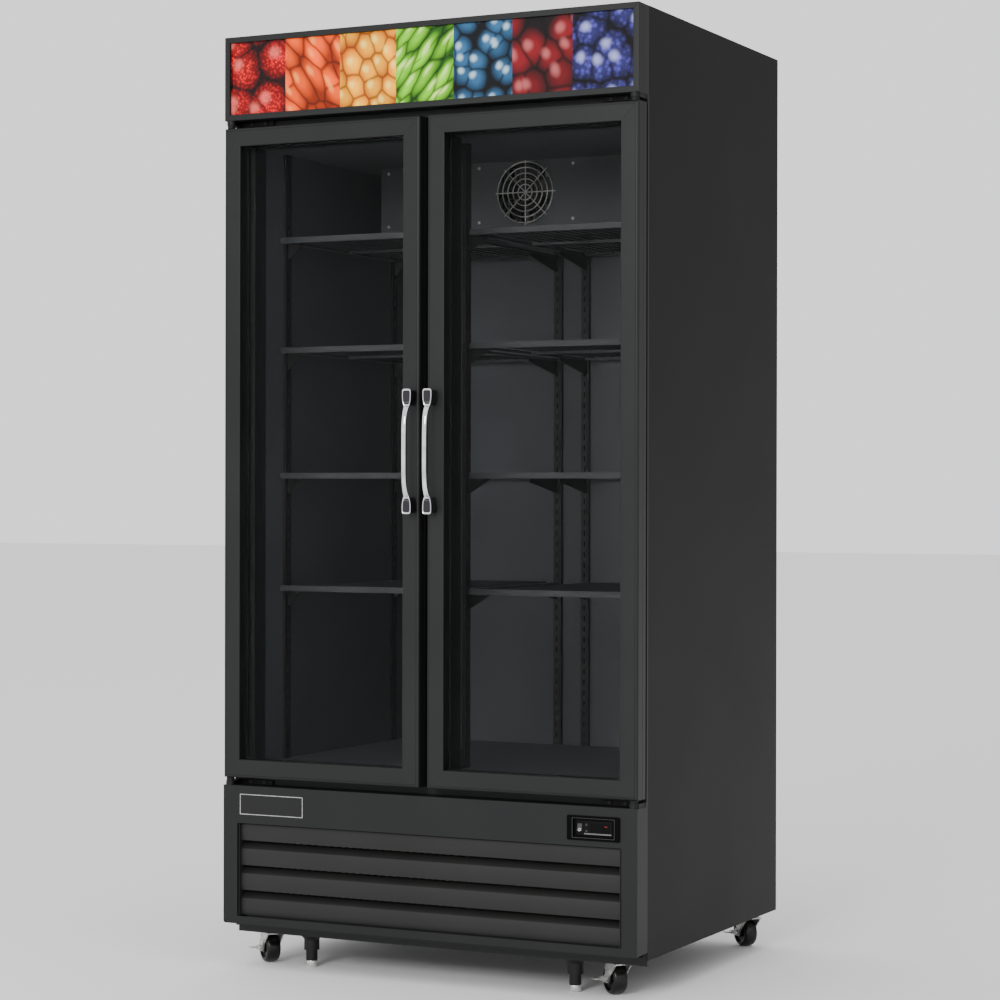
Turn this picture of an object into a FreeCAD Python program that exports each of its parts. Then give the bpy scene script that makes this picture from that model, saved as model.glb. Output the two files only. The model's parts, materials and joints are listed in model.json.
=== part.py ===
"""Two-door glass freezer merchandiser, in millimetres.

Frame: origin on the floor at the middle of the plan, +Z up, the doors face -Y, +X to the viewer's right.
Every depth below is counted from the doors' front face towards the rear.
"""
import FreeCAD, Part
import math
import os
from FreeCAD import Vector

# ---------------------------------------------------------------- driving dimensions
# Overall
cabinet_width = 1000.0
body_depth = 758.0             # side panels, front edge to rear face
grille_bottom = 97.0           # floor to the lower edge of the grille panel
grille_height = 306.0
hinge_gap = 17.0               # between doors and header, and between doors and grille panel
door_height = 1438.0
header_height = 185.0
side_panel_bottom = 83.0       # floor to the lower edge of the side panels
handle_projection = 45.0       # handle, proud of the doors
flat_fit = 0.3                 # gap between flat faces of pieces that move on each other
running_fit = 0.05             # radial clearance of a shaft in its hole

# Walls
wall_thickness = 50.0
outer_sheet = 1.2
liner_sheet = 1.5
floor_foam = 58.5
ceiling_foam = 60.5
deck_rise = 28.0               # interior deck above the doors' lower edge
ceiling_drop = 40.0            # interior ceiling below the doors' upper edge
breaker_depth = 40.0           # black breaker strip round the opening

# Doors
door_gap = 19.0
door_depth = 42.0
stile_width = 40.5
frame_lip = 7.0                # wall in front of and behind the glass unit
frame_web = 30.5               # width of the member outside the glass unit
chamber_wall = 3.0             # round the hollow of a member
chamber_front = 18.0           # solid depth in front of the hollow, for the hinge pins
pane_thickness = 4.0
edge_round = 5.0
gasket_space = 6.0             # between door frame and front frame
gasket_inset = 15.0            # from the door's edge to the gasket
gasket_width = 14.0
frame_stand = 6.0              # front frame, proud of the side panels
mullion_width = 80.0
mullion_depth = 52.0

# Hinges
hinge_inset_x = 12.0           # hinge line, in from the cabinet's side
hinge_inset_y = 10.0           # hinge line, behind the doors' front face
hinge_pin_radius = 4.0
hinge_pin_reach = 25.0         # pin inside the door
hinge_bush_radius = 8.75
hinge_plate = 9.5              # height of the bracket
hinge_plate_length = 101.0
hinge_plate_depth = 6.0
hinge_arm_width = 17.0
hinge_screw_radius = 3.0

# Handles
handle_length = 267.0
handle_centre = 1139.5         # above the floor
handle_edge = 15.3             # handle's middle line, in from the door's free edge
handle_width = 20.0
handle_end_length = 34.5
handle_end_depth = 30.0
handle_neck = 10.0             # width where an end runs into the grip
grip_width = 14.0
grip_thickness = 10.0
inset_border = 2.6
inset_depth = 1.2

# Header
header_border = 13.0
border_depth = 10.0
header_sheet = 1.5
sign_thickness = 3.0
light_bar_width = 20.0
light_bar_depth = 8.0

# Grille panel
panel_sheet = 2.0
panel_return = 30.0            # lower flange
panel_corner = 6.0
louvre_margin = 36.0           # louvre opening, in from the panel's sides
louvre_opening_bottom = 114.0
louvre_opening_height = 206.0
louvre_pitch = 55.0
louvre_first = 116.0           # lower edge of the lowest blade
blade_height = 36.5
blade_sheet = 1.5
blade_setback = 9.0
blade_crease = 2.5
blade_flange = 19.0
blade_flange_rise = 15.0
blade_end_gap = 4.0            # blades' ends, in from the opening's sides
louvre_bracket_depth = 34.0

# Controls
bezel_width = 120.0
bezel_height = 51.5
bezel_right_margin = 38.5
bezel_centre = 357.7           # above the floor
bezel_stand = 2.5
bezel_corner = 3.0
window_width = 92.5
window_height = 37.5
window_bevel = 2.0
window_floor = 1.5             # floor of the window, round the controller's face
window_lap = 0.6               # floor over the controller's edges
controller_width = 66.0
controller_right_gap = 6.0
controller_height = 31.0
controller_depth = 58.0
key_radius = 2.7
key_travel = 0.8
key_proud = 1.2
switch_width = 11.0
switch_height = 16.0
switch_tilt = 10.0             # degrees either side of level

# Base
tray_level = 86.0              # underside of the base tray
tray_sheet = 2.0
tray_flange = 24.0
rail_setback = 6.0             # kick rail behind the side panels' front edges
rail_inset = 3.0               # kick rail, in from each side
rail_bottom = 70.0
rail_height = 40.0
rail_slot_height = 3.5
rail_slot_margin = 39.0
rail_slot_rise = 2.0           # slots above the tray's floor
rail_end_slot = 10.0

# Casters
wheel_radius = 32.0
wheel_width = 32.0
caster_trail = 18.0
front_caster_side = 77.0       # stem, in from the cabinet's side
front_caster_back = 84.0       # stem, behind the doors' front face
rear_caster_side = 48.0
rear_caster_back = 48.0        # stem, in front of the rear face
caster_rest_angle = 141.0      # heading of the trail, degrees from +X
caster_plate_length = 72.0
caster_plate_width = 60.0
caster_plate_sheet = 3.0
race_radius = 19.0
king_pin_radius = 5.0
fork_sheet = 2.5
fork_side_gap = 1.5
fork_lap = 4.0                 # crown beyond the ball race
axle_radius = 4.0
brake_reach = 36.0
brake_pedal = 16.0
brake_travel = 25.0            # degrees
front_wheel_clear = 0.6        # front wheels stay just off the floor while the legs carry

# Levelling legs
leg_side = 178.0
leg_back = 84.0
leg_tube_radius = 17.0
leg_tube_bottom = 38.5
leg_collar_radius = 24.0
leg_collar_height = 8.0
leg_sleeve_radius = 12.8
foot_radius = 12.6
foot_height = 14.4
foot_travel = 20.0

# Inside
shelf_heights = [0.2876, 0.4730, 0.6796, 0.8606]   # shares of the interior height above the deck
shelf_front = 145.0
shelf_rear_gap = 16.0
shelf_side_gap = 7.0
shelf_middle_gap = 72.0
shelf_lip = 13.0
shelf_lip_sheet = 1.5
shelf_lip_depth = 12.0
shelf_wire_radius = 2.0
shelf_bar_radius = 3.0
shelf_wire_pitch = 25.0
wire_under_lip = 0.3           # wires, below the lip's top flange
wire_weld = 0.6                # depth to which a wire sinks into a bar
pilaster_width = 25.0
pilaster_depth = 6.0
centre_post_width = 30.0
front_pilaster_back = 170.0    # behind the doors' front face
rear_pilaster_gap = 90.0       # front of a rear standard to the rear wall
rear_strip_width = 20.0
rear_strip_depth = 10.0
slot_pitch = 25.4
slot_height = 12.0
slot_width = 4.0
bracket_sheet = 3.0
bracket_length = 32.0
bracket_height = 34.0
rear_arm_length = 150.0

# Evaporator
evaporator_width = 760.0
evaporator_height = 150.0
evaporator_depth = 262.0
evaporator_sheet = 1.5
evaporator_fan_radius = 66.0
evaporator_fan_width = 22.0
evaporator_coil_depth = 120.0
evaporator_coil_margin = 40.0  # between the coil and the cover's ends
evaporator_coil_gap = 10.0     # behind the coil
evaporator_drain_gap = 12.0    # under the coil
evaporator_fin_pitch = 16.0
evaporator_fin_slot = 11.0
fan_ring_clearance = 4.0

# Fan motors
motor_radius = 24.0
motor_length = 40.0
motor_shaft_radius = 3.0
strap_width = 18.0
strap_sheet = 3.0

# Machine compartment
vent_width = 190.0
vent_height = 8.0
vent_pitch = 22.0
vent_rows = 9
vent_rise = 40.0               # lowest vent above the base tray
vent_hood = 9.0                # depth of the hood pressed in over each vent
condenser_left = 70.0          # from the cabinet's left side
condenser_width = 470.0
condenser_height = 236.0
condenser_thickness = 52.0
condenser_back = 100.0
shroud_depth = 62.0
condenser_fan_radius = 102.0
condenser_fan_width = 34.0
condenser_fin_pitch = 9.0
condenser_fin_slot = 6.0
compressor_radius = 82.0
compressor_height = 190.0
compressor_side = 250.0        # centre, in from the cabinet's right side
compressor_back = 560.0
electrical_width = 190.0
electrical_height = 120.0
electrical_depth = 110.0
tube_radius = 4.0
drier_radius = 12.0
drier_length = 110.0
drier_lead = 28.0              # tube between a bend and the filter drier
inlet_radius = 6.0

# ---------------------------------------------------------------- places worked out from them
half_width = cabinet_width / 2
front_stack = door_depth + gasket_space + frame_stand
door_front = handle_projection - (handle_projection + front_stack + body_depth) / 2
frame_front = door_front + door_depth + gasket_space
body_front = door_front + front_stack
body_rear = body_front + body_depth
grille_top = grille_bottom + grille_height
door_bottom = grille_top + hinge_gap
door_top = door_bottom + door_height
header_bottom = door_top + hinge_gap
header_top = header_bottom + header_height
deck_level = door_bottom + deck_rise
ceiling_level = door_top - ceiling_drop
interior_half = half_width - wall_thickness
interior_rear = body_rear - wall_thickness
liner_front = body_front + breaker_depth
foam_bottom = deck_level - liner_sheet - floor_foam
foam_top = ceiling_level + liner_sheet + ceiling_foam
door_width = (cabinet_width - door_gap) / 2
tray_top = tray_level + tray_sheet
rail_front = body_front + rail_setback
shelf_width = interior_half - shelf_side_gap - shelf_middle_gap / 2

nodes = {}


# ---------------------------------------------------------------- small tools
def box(x0, x1, y0, y1, z0, z1):
    return Part.makeBox(x1 - x0, y1 - y0, z1 - z0, Vector(x0, y0, z0))


def rod(radius, start, end):
    line = Vector(*end) - Vector(*start)
    return Part.makeCylinder(radius, line.Length, Vector(*start), line)


def prism(points, direction):
    """Solid made by pushing a flat outline along a direction."""
    corners = [Vector(*point) for point in points]
    return Part.Face(Part.makePolygon(corners + corners[:1])).extrude(Vector(*direction))


def mirrored(shape):
    return shape.mirror(Vector(0, 0, 0), Vector(1, 0, 0))


def both_sides(shape):
    return [shape, mirrored(shape)]


def moved(shape, x=0.0, y=0.0, z=0.0):
    copy = shape.copy()
    copy.translate(Vector(x, y, z))
    return copy


def turned(shape, angle, centre=(0, 0, 0), axis=(0, 0, 1)):
    copy = shape.copy()
    copy.rotate(Vector(*centre), Vector(*axis), angle)
    return copy


def fused(shapes):
    return shapes[0].multiFuse(shapes[1:]).removeSplitter()


def keep(name, shapes):
    nodes[name] = Part.makeCompound(shapes) if isinstance(shapes, list) else shapes


def rounded_plate(x_mid, z_mid, width, height, y0, thickness, corner):
    """Upright plate with four rounded corners."""
    x0, z0 = x_mid - width / 2, z_mid - height / 2
    plate = box(x0, x0 + width, y0, y0 + thickness, z0, z0 + height)
    uprights = [e for e in plate.Edges if abs(e.tangentAt(e.FirstParameter).y) > 0.99]
    return plate.makeFillet(corner, uprights)


def mitred_frame(face, width, x0, x1, y0, z0, z1):
    """Four members with 45 degree corners. The face lies in XY: X in from the edge, Y towards the rear."""
    members = []
    depth = face.BoundBox.YMax - face.BoundBox.YMin
    for length, turn, corner in (
        (z1 - z0, 0, (x0, z0)),
        (x1 - x0, 90, (x0, z1)),
        (z1 - z0, 180, (x1, z1)),
        (x1 - x0, 270, (x1, z0)),
    ):
        bar = face.extrude(Vector(0, 0, length))
        low = face.BoundBox.YMin
        wedge = prism(
            [(0, low, 0), (width, low, width), (width, low, length - width), (0, low, length)],
            (0, depth, 0),
        )
        bar = turned(bar.common(wedge), turn, axis=(0, 1, 0))
        members.append(moved(bar, corner[0], y0, corner[1]))
    return members


def slotted_bar(x0, x1, y0, y1, z0, z1, axis, slot_depth):
    """Shelf standard: a bar with a column of slots sunk into the faces that lie across the axis."""
    bar = box(x0, x1, y0, y1, z0, z1)
    middle_x, middle_y = (x0 + x1) / 2, (y0 + y1) / 2
    cuts = []
    count = int((z1 - z0 - slot_pitch) / slot_pitch)
    for index in range(count):
        low = z0 + slot_pitch * (index + 0.75)
        for side in axis:
            if abs(side[0]) > 0:
                face = x1 if side[0] > 0 else x0
                near, far = sorted((face, face - side[0] * slot_depth))
                cuts.append(box(near, far, middle_y - slot_width / 2, middle_y + slot_width / 2,
                                low, low + slot_height))
            else:
                cuts.append(box(middle_x - slot_width / 2, middle_x + slot_width / 2,
                                y0, y0 + slot_depth, low, low + slot_height))
    return bar.cut(Part.makeCompound(cuts))


# ---------------------------------------------------------------- cabinet
def cabinet_shell():
    """Outer sheets, foamed walls and the inner liner."""
    side = box(-half_width, -half_width + outer_sheet, body_front, body_rear - outer_sheet,
               side_panel_bottom, header_top)
    keep("left_side_panel", side)
    keep("right_side_panel", mirrored(side))

    inner_half = half_width - outer_sheet
    top = box(-inner_half, inner_half, body_front, body_rear - outer_sheet,
              header_top - outer_sheet, header_top)
    keep("top_panel", top)

    rear = box(-half_width, half_width, body_rear - outer_sheet, body_rear, side_panel_bottom, header_top)
    inner_face = body_rear - outer_sheet
    vents, hoods = [], []
    for row in range(vent_rows):
        low = tray_top + vent_rise + row * vent_pitch
        high = low + vent_height
        for middle in (-half_width / 2, 0.0, half_width / 2):
            x0 = middle - vent_width / 2
            vents.append(box(x0, x0 + vent_width, inner_face - outer_sheet, body_rear + outer_sheet,
                             low, high))
            hoods.append(prism([(x0, inner_face + 0.4, high + outer_sheet),
                                (x0, inner_face - vent_hood, high - vent_hood + outer_sheet),
                                (x0, inner_face - vent_hood, high - vent_hood),
                                (x0, inner_face + 0.4, high)], (vent_width, 0, 0)))
    gland = rod(inlet_radius, (half_width - 60.0, body_rear - 3.0, tray_top + 20.0),
                (half_width - 60.0, body_rear + 3.0, tray_top + 20.0))
    keep("rear_panel", fused([rear.cut(Part.makeCompound(vents + [gland]))] + hoods))

    foam_half = interior_half + liner_sheet
    foam_rear = interior_rear + liner_sheet
    side_foam = box(-inner_half, -foam_half, body_front, foam_rear, foam_bottom, foam_top)
    keep("foam_insulation", both_sides(side_foam) + [
        box(-inner_half, inner_half, foam_rear, body_rear - outer_sheet, foam_bottom, foam_top),
        box(-foam_half, foam_half, body_front, foam_rear, ceiling_level + liner_sheet, foam_top),
        box(-foam_half, foam_half, body_front, foam_rear, foam_bottom, deck_level - liner_sheet),
    ])

    side_liner = box(-foam_half, -interior_half, liner_front, interior_rear, deck_level, ceiling_level)
    keep("interior_liner", both_sides(side_liner) + [
        box(-foam_half, foam_half, interior_rear, foam_rear, deck_level - liner_sheet,
            ceiling_level + liner_sheet),
        box(-foam_half, foam_half, liner_front, interior_rear, ceiling_level, ceiling_level + liner_sheet),
        box(-foam_half, foam_half, liner_front, interior_rear, deck_level - liner_sheet, deck_level),
    ])


def door_opening():
    """Steel frame that the gaskets close on, the centre mullion, and the breaker strips behind them."""
    stile = box(-half_width, -interior_half, frame_front, body_front, grille_top, header_bottom)
    rails = [
        box(-interior_half, interior_half, frame_front, body_front, grille_top, deck_level),
        box(-interior_half, interior_half, frame_front, body_front, ceiling_level, header_bottom),
    ]
    half_mullion = mullion_width / 2
    core_half = half_mullion - liner_sheet
    mullion_rear = frame_front + mullion_depth
    tube_half = core_half - outer_sheet
    mullion = fused([
        box(-half_mullion, half_mullion, frame_front, body_front, deck_level, ceiling_level),
        box(-core_half, core_half, body_front, mullion_rear, deck_level, ceiling_level),
    ]).cut(box(-tube_half, tube_half, frame_front + outer_sheet, mullion_rear - outer_sheet,
               deck_level, ceiling_level))
    keep("front_frame", both_sides(stile) + rails + [mullion])

    foam_half = interior_half + liner_sheet
    side_strip = box(-foam_half, -interior_half, body_front, liner_front, deck_level, ceiling_level)
    mullion_strip = box(-half_mullion, -core_half, body_front, mullion_rear, deck_level, ceiling_level)
    keep("breaker_strips", both_sides(side_strip) + both_sides(mullion_strip) + [
        box(-foam_half, foam_half, body_front, liner_front, ceiling_level, ceiling_level + liner_sheet),
        box(-foam_half, foam_half, body_front, liner_front, deck_level - liner_sheet, deck_level),
    ])


def header():
    """Lit sign box across the top: folded housing, mitred border and translucent sign."""
    outer = box(-half_width, half_width, door_front + border_depth, body_front, header_bottom, header_top)
    hollow = box(-half_width + header_sheet, half_width - header_sheet, door_front,
                 body_front - header_sheet, header_bottom + header_sheet, header_top - header_sheet)
    housing = outer.cut(hollow)

    sign_front = door_front + border_depth - sign_thickness - flat_fit
    lap = header_border - header_sheet
    profile = Part.Face(Part.makePolygon([
        Vector(0, 0, 0), Vector(header_border, 0, 0),
        Vector(header_border, sign_front - door_front, 0),
        Vector(header_sheet, sign_front - door_front, 0),
        Vector(header_sheet, border_depth, 0), Vector(0, border_depth, 0), Vector(0, 0, 0),
    ]))
    border = mitred_frame(profile, header_border, -half_width, half_width, door_front,
                          header_bottom, header_top)
    keep("header_housing", [housing] + border)

    sign_half = half_width - header_border + lap - flat_fit
    keep("header_sign", box(-sign_half, sign_half, sign_front, sign_front + sign_thickness,
                            header_bottom + header_sheet + flat_fit, header_top - header_sheet - flat_fit))


def light_bars():
    """LED bars: one in the sign box and one down each side of the mullion's rear."""
    back = body_front - header_sheet
    middle = (header_bottom + header_top) / 2
    bar_margin = 50.0
    sign_bar = box(-half_width + bar_margin, half_width - bar_margin, back - light_bar_depth, back,
                   middle - light_bar_width / 2, middle + light_bar_width / 2)
    mullion_rear = frame_front + mullion_depth
    edge = mullion_width / 2 - liner_sheet - 1.0
    upright = box(-edge, -edge + light_bar_width, mullion_rear, mullion_rear + light_bar_depth,
                  deck_level + bar_margin, ceiling_level - bar_margin)
    keep("led_light_bars", [sign_bar] + both_sides(upright))


# ---------------------------------------------------------------- doors
def door_profile():
    """Section of a door member: a channel that grips the glass unit, with a rounded outer front edge."""
    arc_middle = edge_round * (1 - math.sqrt(0.5))
    small = edge_round / 3
    small_middle = small * (1 - math.sqrt(0.5))
    rear_lip = door_depth - frame_lip
    points = [Vector(stile_width, small, 0), Vector(stile_width, frame_lip, 0),
              Vector(frame_web, frame_lip, 0), Vector(frame_web, rear_lip, 0),
              Vector(stile_width, rear_lip, 0), Vector(stile_width, door_depth, 0),
              Vector(0, door_depth, 0), Vector(0, edge_round, 0)]
    edges = [Part.LineSegment(a, b).toShape() for a, b in zip(points, points[1:])]
    edges.append(Part.Arc(Vector(0, edge_round, 0), Vector(arc_middle, arc_middle, 0),
                          Vector(edge_round, 0, 0)).toShape())
    edges.append(Part.LineSegment(Vector(edge_round, 0, 0), Vector(stile_width - small, 0, 0)).toShape())
    edges.append(Part.Arc(Vector(stile_width - small, 0, 0),
                          Vector(stile_width - small_middle, small_middle, 0),
                          Vector(stile_width, small, 0)).toShape())
    section = Part.Face(Part.Wire(Part.__sortEdges__(edges)))
    chamber = Part.makePlane(frame_web - 2 * chamber_wall, door_depth - chamber_front - chamber_wall,
                             Vector(chamber_wall, chamber_front, 0))
    return section.cut(chamber).Faces[0]


def handle():
    """D-shaped pull: a shield-shaped block at each end, and a grip that bows out between them."""
    x_mid = -door_gap / 2 - handle_edge
    face = door_front - handle_end_depth
    top = handle_centre + handle_length / 2
    half = handle_width / 2
    shoulder = handle_end_length * 0.62
    corner = handle_width * 0.15
    outline = [(x_mid - half + corner, face, top), (x_mid + half - corner, face, top),
               (x_mid + half, face, top - corner), (x_mid + half, face, top - shoulder),
               (x_mid + handle_neck / 2, face, top - handle_end_length),
               (x_mid - handle_neck / 2, face, top - handle_end_length),
               (x_mid - half, face, top - shoulder), (x_mid - half, face, top - corner)]
    end = prism(outline, (0, handle_end_depth, 0))
    shrink = 1 - inset_border / half
    centre_z = top - shoulder * 0.62
    recess = prism([(x_mid + (x - x_mid) * shrink, face - 1.0, centre_z + (z - centre_z) * shrink)
                    for x, _, z in outline], (0, 1.0 + inset_depth, 0))
    end = end.cut(recess)

    bow_front = -handle_projection
    half_run = handle_length / 2 - handle_end_length * 0.8
    start_front = -handle_end_depth
    outer_arc = Part.Arc(Vector(x_mid, door_front + start_front, handle_centre - half_run),
                         Vector(x_mid, door_front + bow_front, handle_centre),
                         Vector(x_mid, door_front + start_front, handle_centre + half_run)).toShape()
    inner_arc = Part.Arc(Vector(x_mid, door_front + start_front + grip_thickness, handle_centre + half_run),
                         Vector(x_mid, door_front + bow_front + grip_thickness, handle_centre),
                         Vector(x_mid, door_front + start_front + grip_thickness,
                                handle_centre - half_run)).toShape()
    closing = [Part.makeLine(outer_arc.Vertexes[-1].Point, inner_arc.Vertexes[0].Point),
               Part.makeLine(inner_arc.Vertexes[-1].Point, outer_arc.Vertexes[0].Point)]
    side_face = Part.Face(Part.Wire(Part.__sortEdges__([outer_arc, inner_arc] + closing)))
    grip = moved(side_face.extrude(Vector(grip_width, 0, 0)), -grip_width / 2)
    lower_end = end.mirror(Vector(0, 0, handle_centre), Vector(0, 0, 1))
    return fused([grip, end, lower_end])


def doors():
    """Left door, and the right door as its mirror image."""
    x0, x1 = -half_width, -half_width + door_width
    frame = mitred_frame(door_profile(), stile_width, x0, x1, door_front, door_bottom, door_top)
    hinge_x, hinge_y = -half_width + hinge_inset_x, door_front + hinge_inset_y
    hole_radius = hinge_pin_radius + running_fit
    holes = Part.makeCompound([
        rod(hole_radius, (hinge_x, hinge_y, door_bottom - 1.0),
            (hinge_x, hinge_y, door_bottom + hinge_pin_reach + 1.0)),
        rod(hole_radius, (hinge_x, hinge_y, door_top - hinge_pin_reach - 1.0),
            (hinge_x, hinge_y, door_top + 1.0)),
    ])
    frame = [member.cut(holes) for member in frame]

    glass_x0, glass_x1 = x0 + frame_web, x1 - frame_web
    glass_z0, glass_z1 = door_bottom + frame_web, door_top - frame_web
    front_pane = door_front + frame_lip
    rear_pane = door_front + door_depth - frame_lip - pane_thickness
    spacer_face = Part.makePlane(frame_lip, rear_pane - front_pane - pane_thickness)
    panes = [box(glass_x0, glass_x1, pane, pane + pane_thickness, glass_z0, glass_z1)
             for pane in (front_pane, rear_pane)]
    spacers = mitred_frame(spacer_face, frame_lip, glass_x0, glass_x1, front_pane + pane_thickness,
                           glass_z0, glass_z1)

    bulb = gasket_space - flat_fit
    nose = bulb * 0.35
    gasket_face = Part.Face(Part.makePolygon([
        Vector(0, 0, 0), Vector(gasket_width, 0, 0), Vector(gasket_width, bulb - nose, 0),
        Vector(gasket_width - nose, bulb, 0), Vector(nose, bulb, 0), Vector(0, bulb - nose, 0),
        Vector(0, 0, 0)]))
    gasket = mitred_frame(gasket_face, gasket_width, x0 + gasket_inset, x1 - gasket_inset,
                          door_front + door_depth, door_bottom + gasket_inset, door_top - gasket_inset)

    pull = handle()
    for side, turn in (("left", lambda s: s), ("right", mirrored)):
        keep(side + "_door_frame", [turn(s) for s in frame])
        keep(side + "_door_glass", [turn(s) for s in panes + spacers])
        keep(side + "_door_gasket", [turn(s) for s in gasket])
        keep(side + "_door_handle", turn(pull))


def hinges():
    """Brackets screwed to the front frame, each with its pin, a nylon bush and two screws."""
    hinge_x, hinge_y = -half_width + hinge_inset_x, door_front + hinge_inset_y
    arm_x1 = -half_width + hinge_arm_width + 4.0
    plate_x1 = -half_width + hinge_plate_length
    brackets, bushes, screws = [], [], []
    for mount, door_edge, into_door in ((grille_top, door_bottom, 1), (header_bottom, door_top, -1)):
        far = mount + into_door * hinge_plate
        z0, z1 = sorted((mount, far))
        plate = box(-half_width, plate_x1, frame_front - hinge_plate_depth, frame_front, z0, z1)
        arm = box(-half_width + 1.0, arm_x1, hinge_y, frame_front, z0, z1)
        boss = Part.makeCylinder(hinge_arm_width / 2 + 1.5, z1 - z0, Vector(hinge_x, hinge_y, z0))
        trim = box(-half_width, half_width, door_front, frame_front, z0, z1)
        pin = rod(hinge_pin_radius, (hinge_x, hinge_y, mount + into_door * 1.0),
                  (hinge_x, hinge_y, door_edge + into_door * hinge_pin_reach))
        body = fused([plate, arm, boss.common(trim)])
        screw_holes = []
        for share in (0.45, 0.8):
            x = -half_width + hinge_plate_length * share
            z = (z0 + z1) / 2
            screw_holes.append(rod(hinge_screw_radius, (x, frame_front - hinge_plate_depth - 1.0, z),
                                   (x, frame_front, z)))
            shank = rod(hinge_screw_radius, (x, frame_front - hinge_plate_depth, z), (x, frame_front, z))
            head = rod(hinge_screw_radius * 1.45, (x, frame_front - hinge_plate_depth - 2.2, z),
                       (x, frame_front - hinge_plate_depth, z))
            screws.append(fused([shank, head]))
        brackets.append(fused([body.cut(Part.makeCompound(screw_holes)), pin]))
        bush_start = far
        bush_end = door_edge - into_door * flat_fit
        washer = rod(hinge_bush_radius, (hinge_x, hinge_y, bush_start), (hinge_x, hinge_y, bush_end))
        bore = rod(hinge_pin_radius, (hinge_x, hinge_y, bush_start - into_door),
                   (hinge_x, hinge_y, bush_end + into_door))
        bushes.append(washer.cut(bore))
    for name, shapes in (("hinge_brackets", brackets), ("hinge_bushes", bushes), ("hinge_screws", screws)):
        keep(name, [half for shape in shapes for half in both_sides(shape)])


# ---------------------------------------------------------------- grille panel and controls
def controls_place():
    x_mid = half_width - bezel_right_margin - bezel_width / 2
    return x_mid, bezel_centre


def grille_panel():
    """Folded front panel with the louvre opening and the cut-out for the controls."""
    depth = body_front - door_front
    front = box(-half_width, half_width, door_front, door_front + panel_sheet, grille_bottom, grille_top)
    top = box(-half_width, half_width, door_front + panel_sheet, body_front,
              grille_top - panel_sheet, grille_top)
    bottom = box(-half_width, half_width, door_front + panel_sheet, door_front + panel_return,
                 grille_bottom, grille_bottom + panel_sheet)
    side = box(-half_width, -half_width + panel_sheet, door_front + panel_sheet, body_front,
               grille_bottom, grille_top)
    panel = fused([front, top, bottom] + both_sides(side))
    lower_corners = box(-half_width, half_width, door_front, door_front + depth, grille_bottom, grille_top)
    uprights = [e for e in lower_corners.Edges
                if abs(e.tangentAt(e.FirstParameter).y) > 0.99 and e.CenterOfMass.z < grille_bottom + 1]
    panel = panel.common(lower_corners.makeFillet(panel_corner, uprights))

    x_mid, z_mid = controls_place()
    louvre_hole = box(-half_width + louvre_margin, half_width - louvre_margin, door_front - 1.0,
                      door_front + panel_sheet + 1.0, louvre_opening_bottom,
                      louvre_opening_bottom + louvre_opening_height)
    control_hole = rounded_plate(x_mid, z_mid, window_width + 8.0, window_height + 5.0, door_front - 1.0,
                                 panel_sheet + 2.0, bezel_corner)
    keep("grille_panel", panel.cut(Part.makeCompound([louvre_hole, control_hole])))


def louvres():
    """Four bent blades between two end brackets, behind the panel's opening."""
    front = door_front + blade_setback
    half = half_width - louvre_margin - blade_end_gap
    count = int((louvre_opening_height - blade_height) / louvre_pitch) + 1
    blades = []
    for index in range(count):
        low = louvre_first + index * louvre_pitch
        mid, high = low + blade_height / 2, low + blade_height
        bend = front + blade_crease
        tip = (bend + blade_flange, high + blade_flange_rise)
        flange_drop = blade_sheet * 0.6
        outer = [(bend, low), (front, mid), (bend, high), tip]
        inner = [(tip[0] + blade_sheet, tip[1] - flange_drop), (bend + blade_sheet, high - flange_drop),
                 (front + blade_sheet, mid), (bend + blade_sheet, low)]
        blades.append(prism([(-half, y, z) for y, z in outer + inner], (2 * half, 0, 0)))
    bracket = box(-half - blade_sheet, -half, door_front + panel_sheet,
                  door_front + panel_sheet + louvre_bracket_depth,
                  louvre_opening_bottom - 6.0, louvre_opening_bottom + louvre_opening_height + 6.0)
    keep("grille_louvres", blades + both_sides(bracket))


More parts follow.
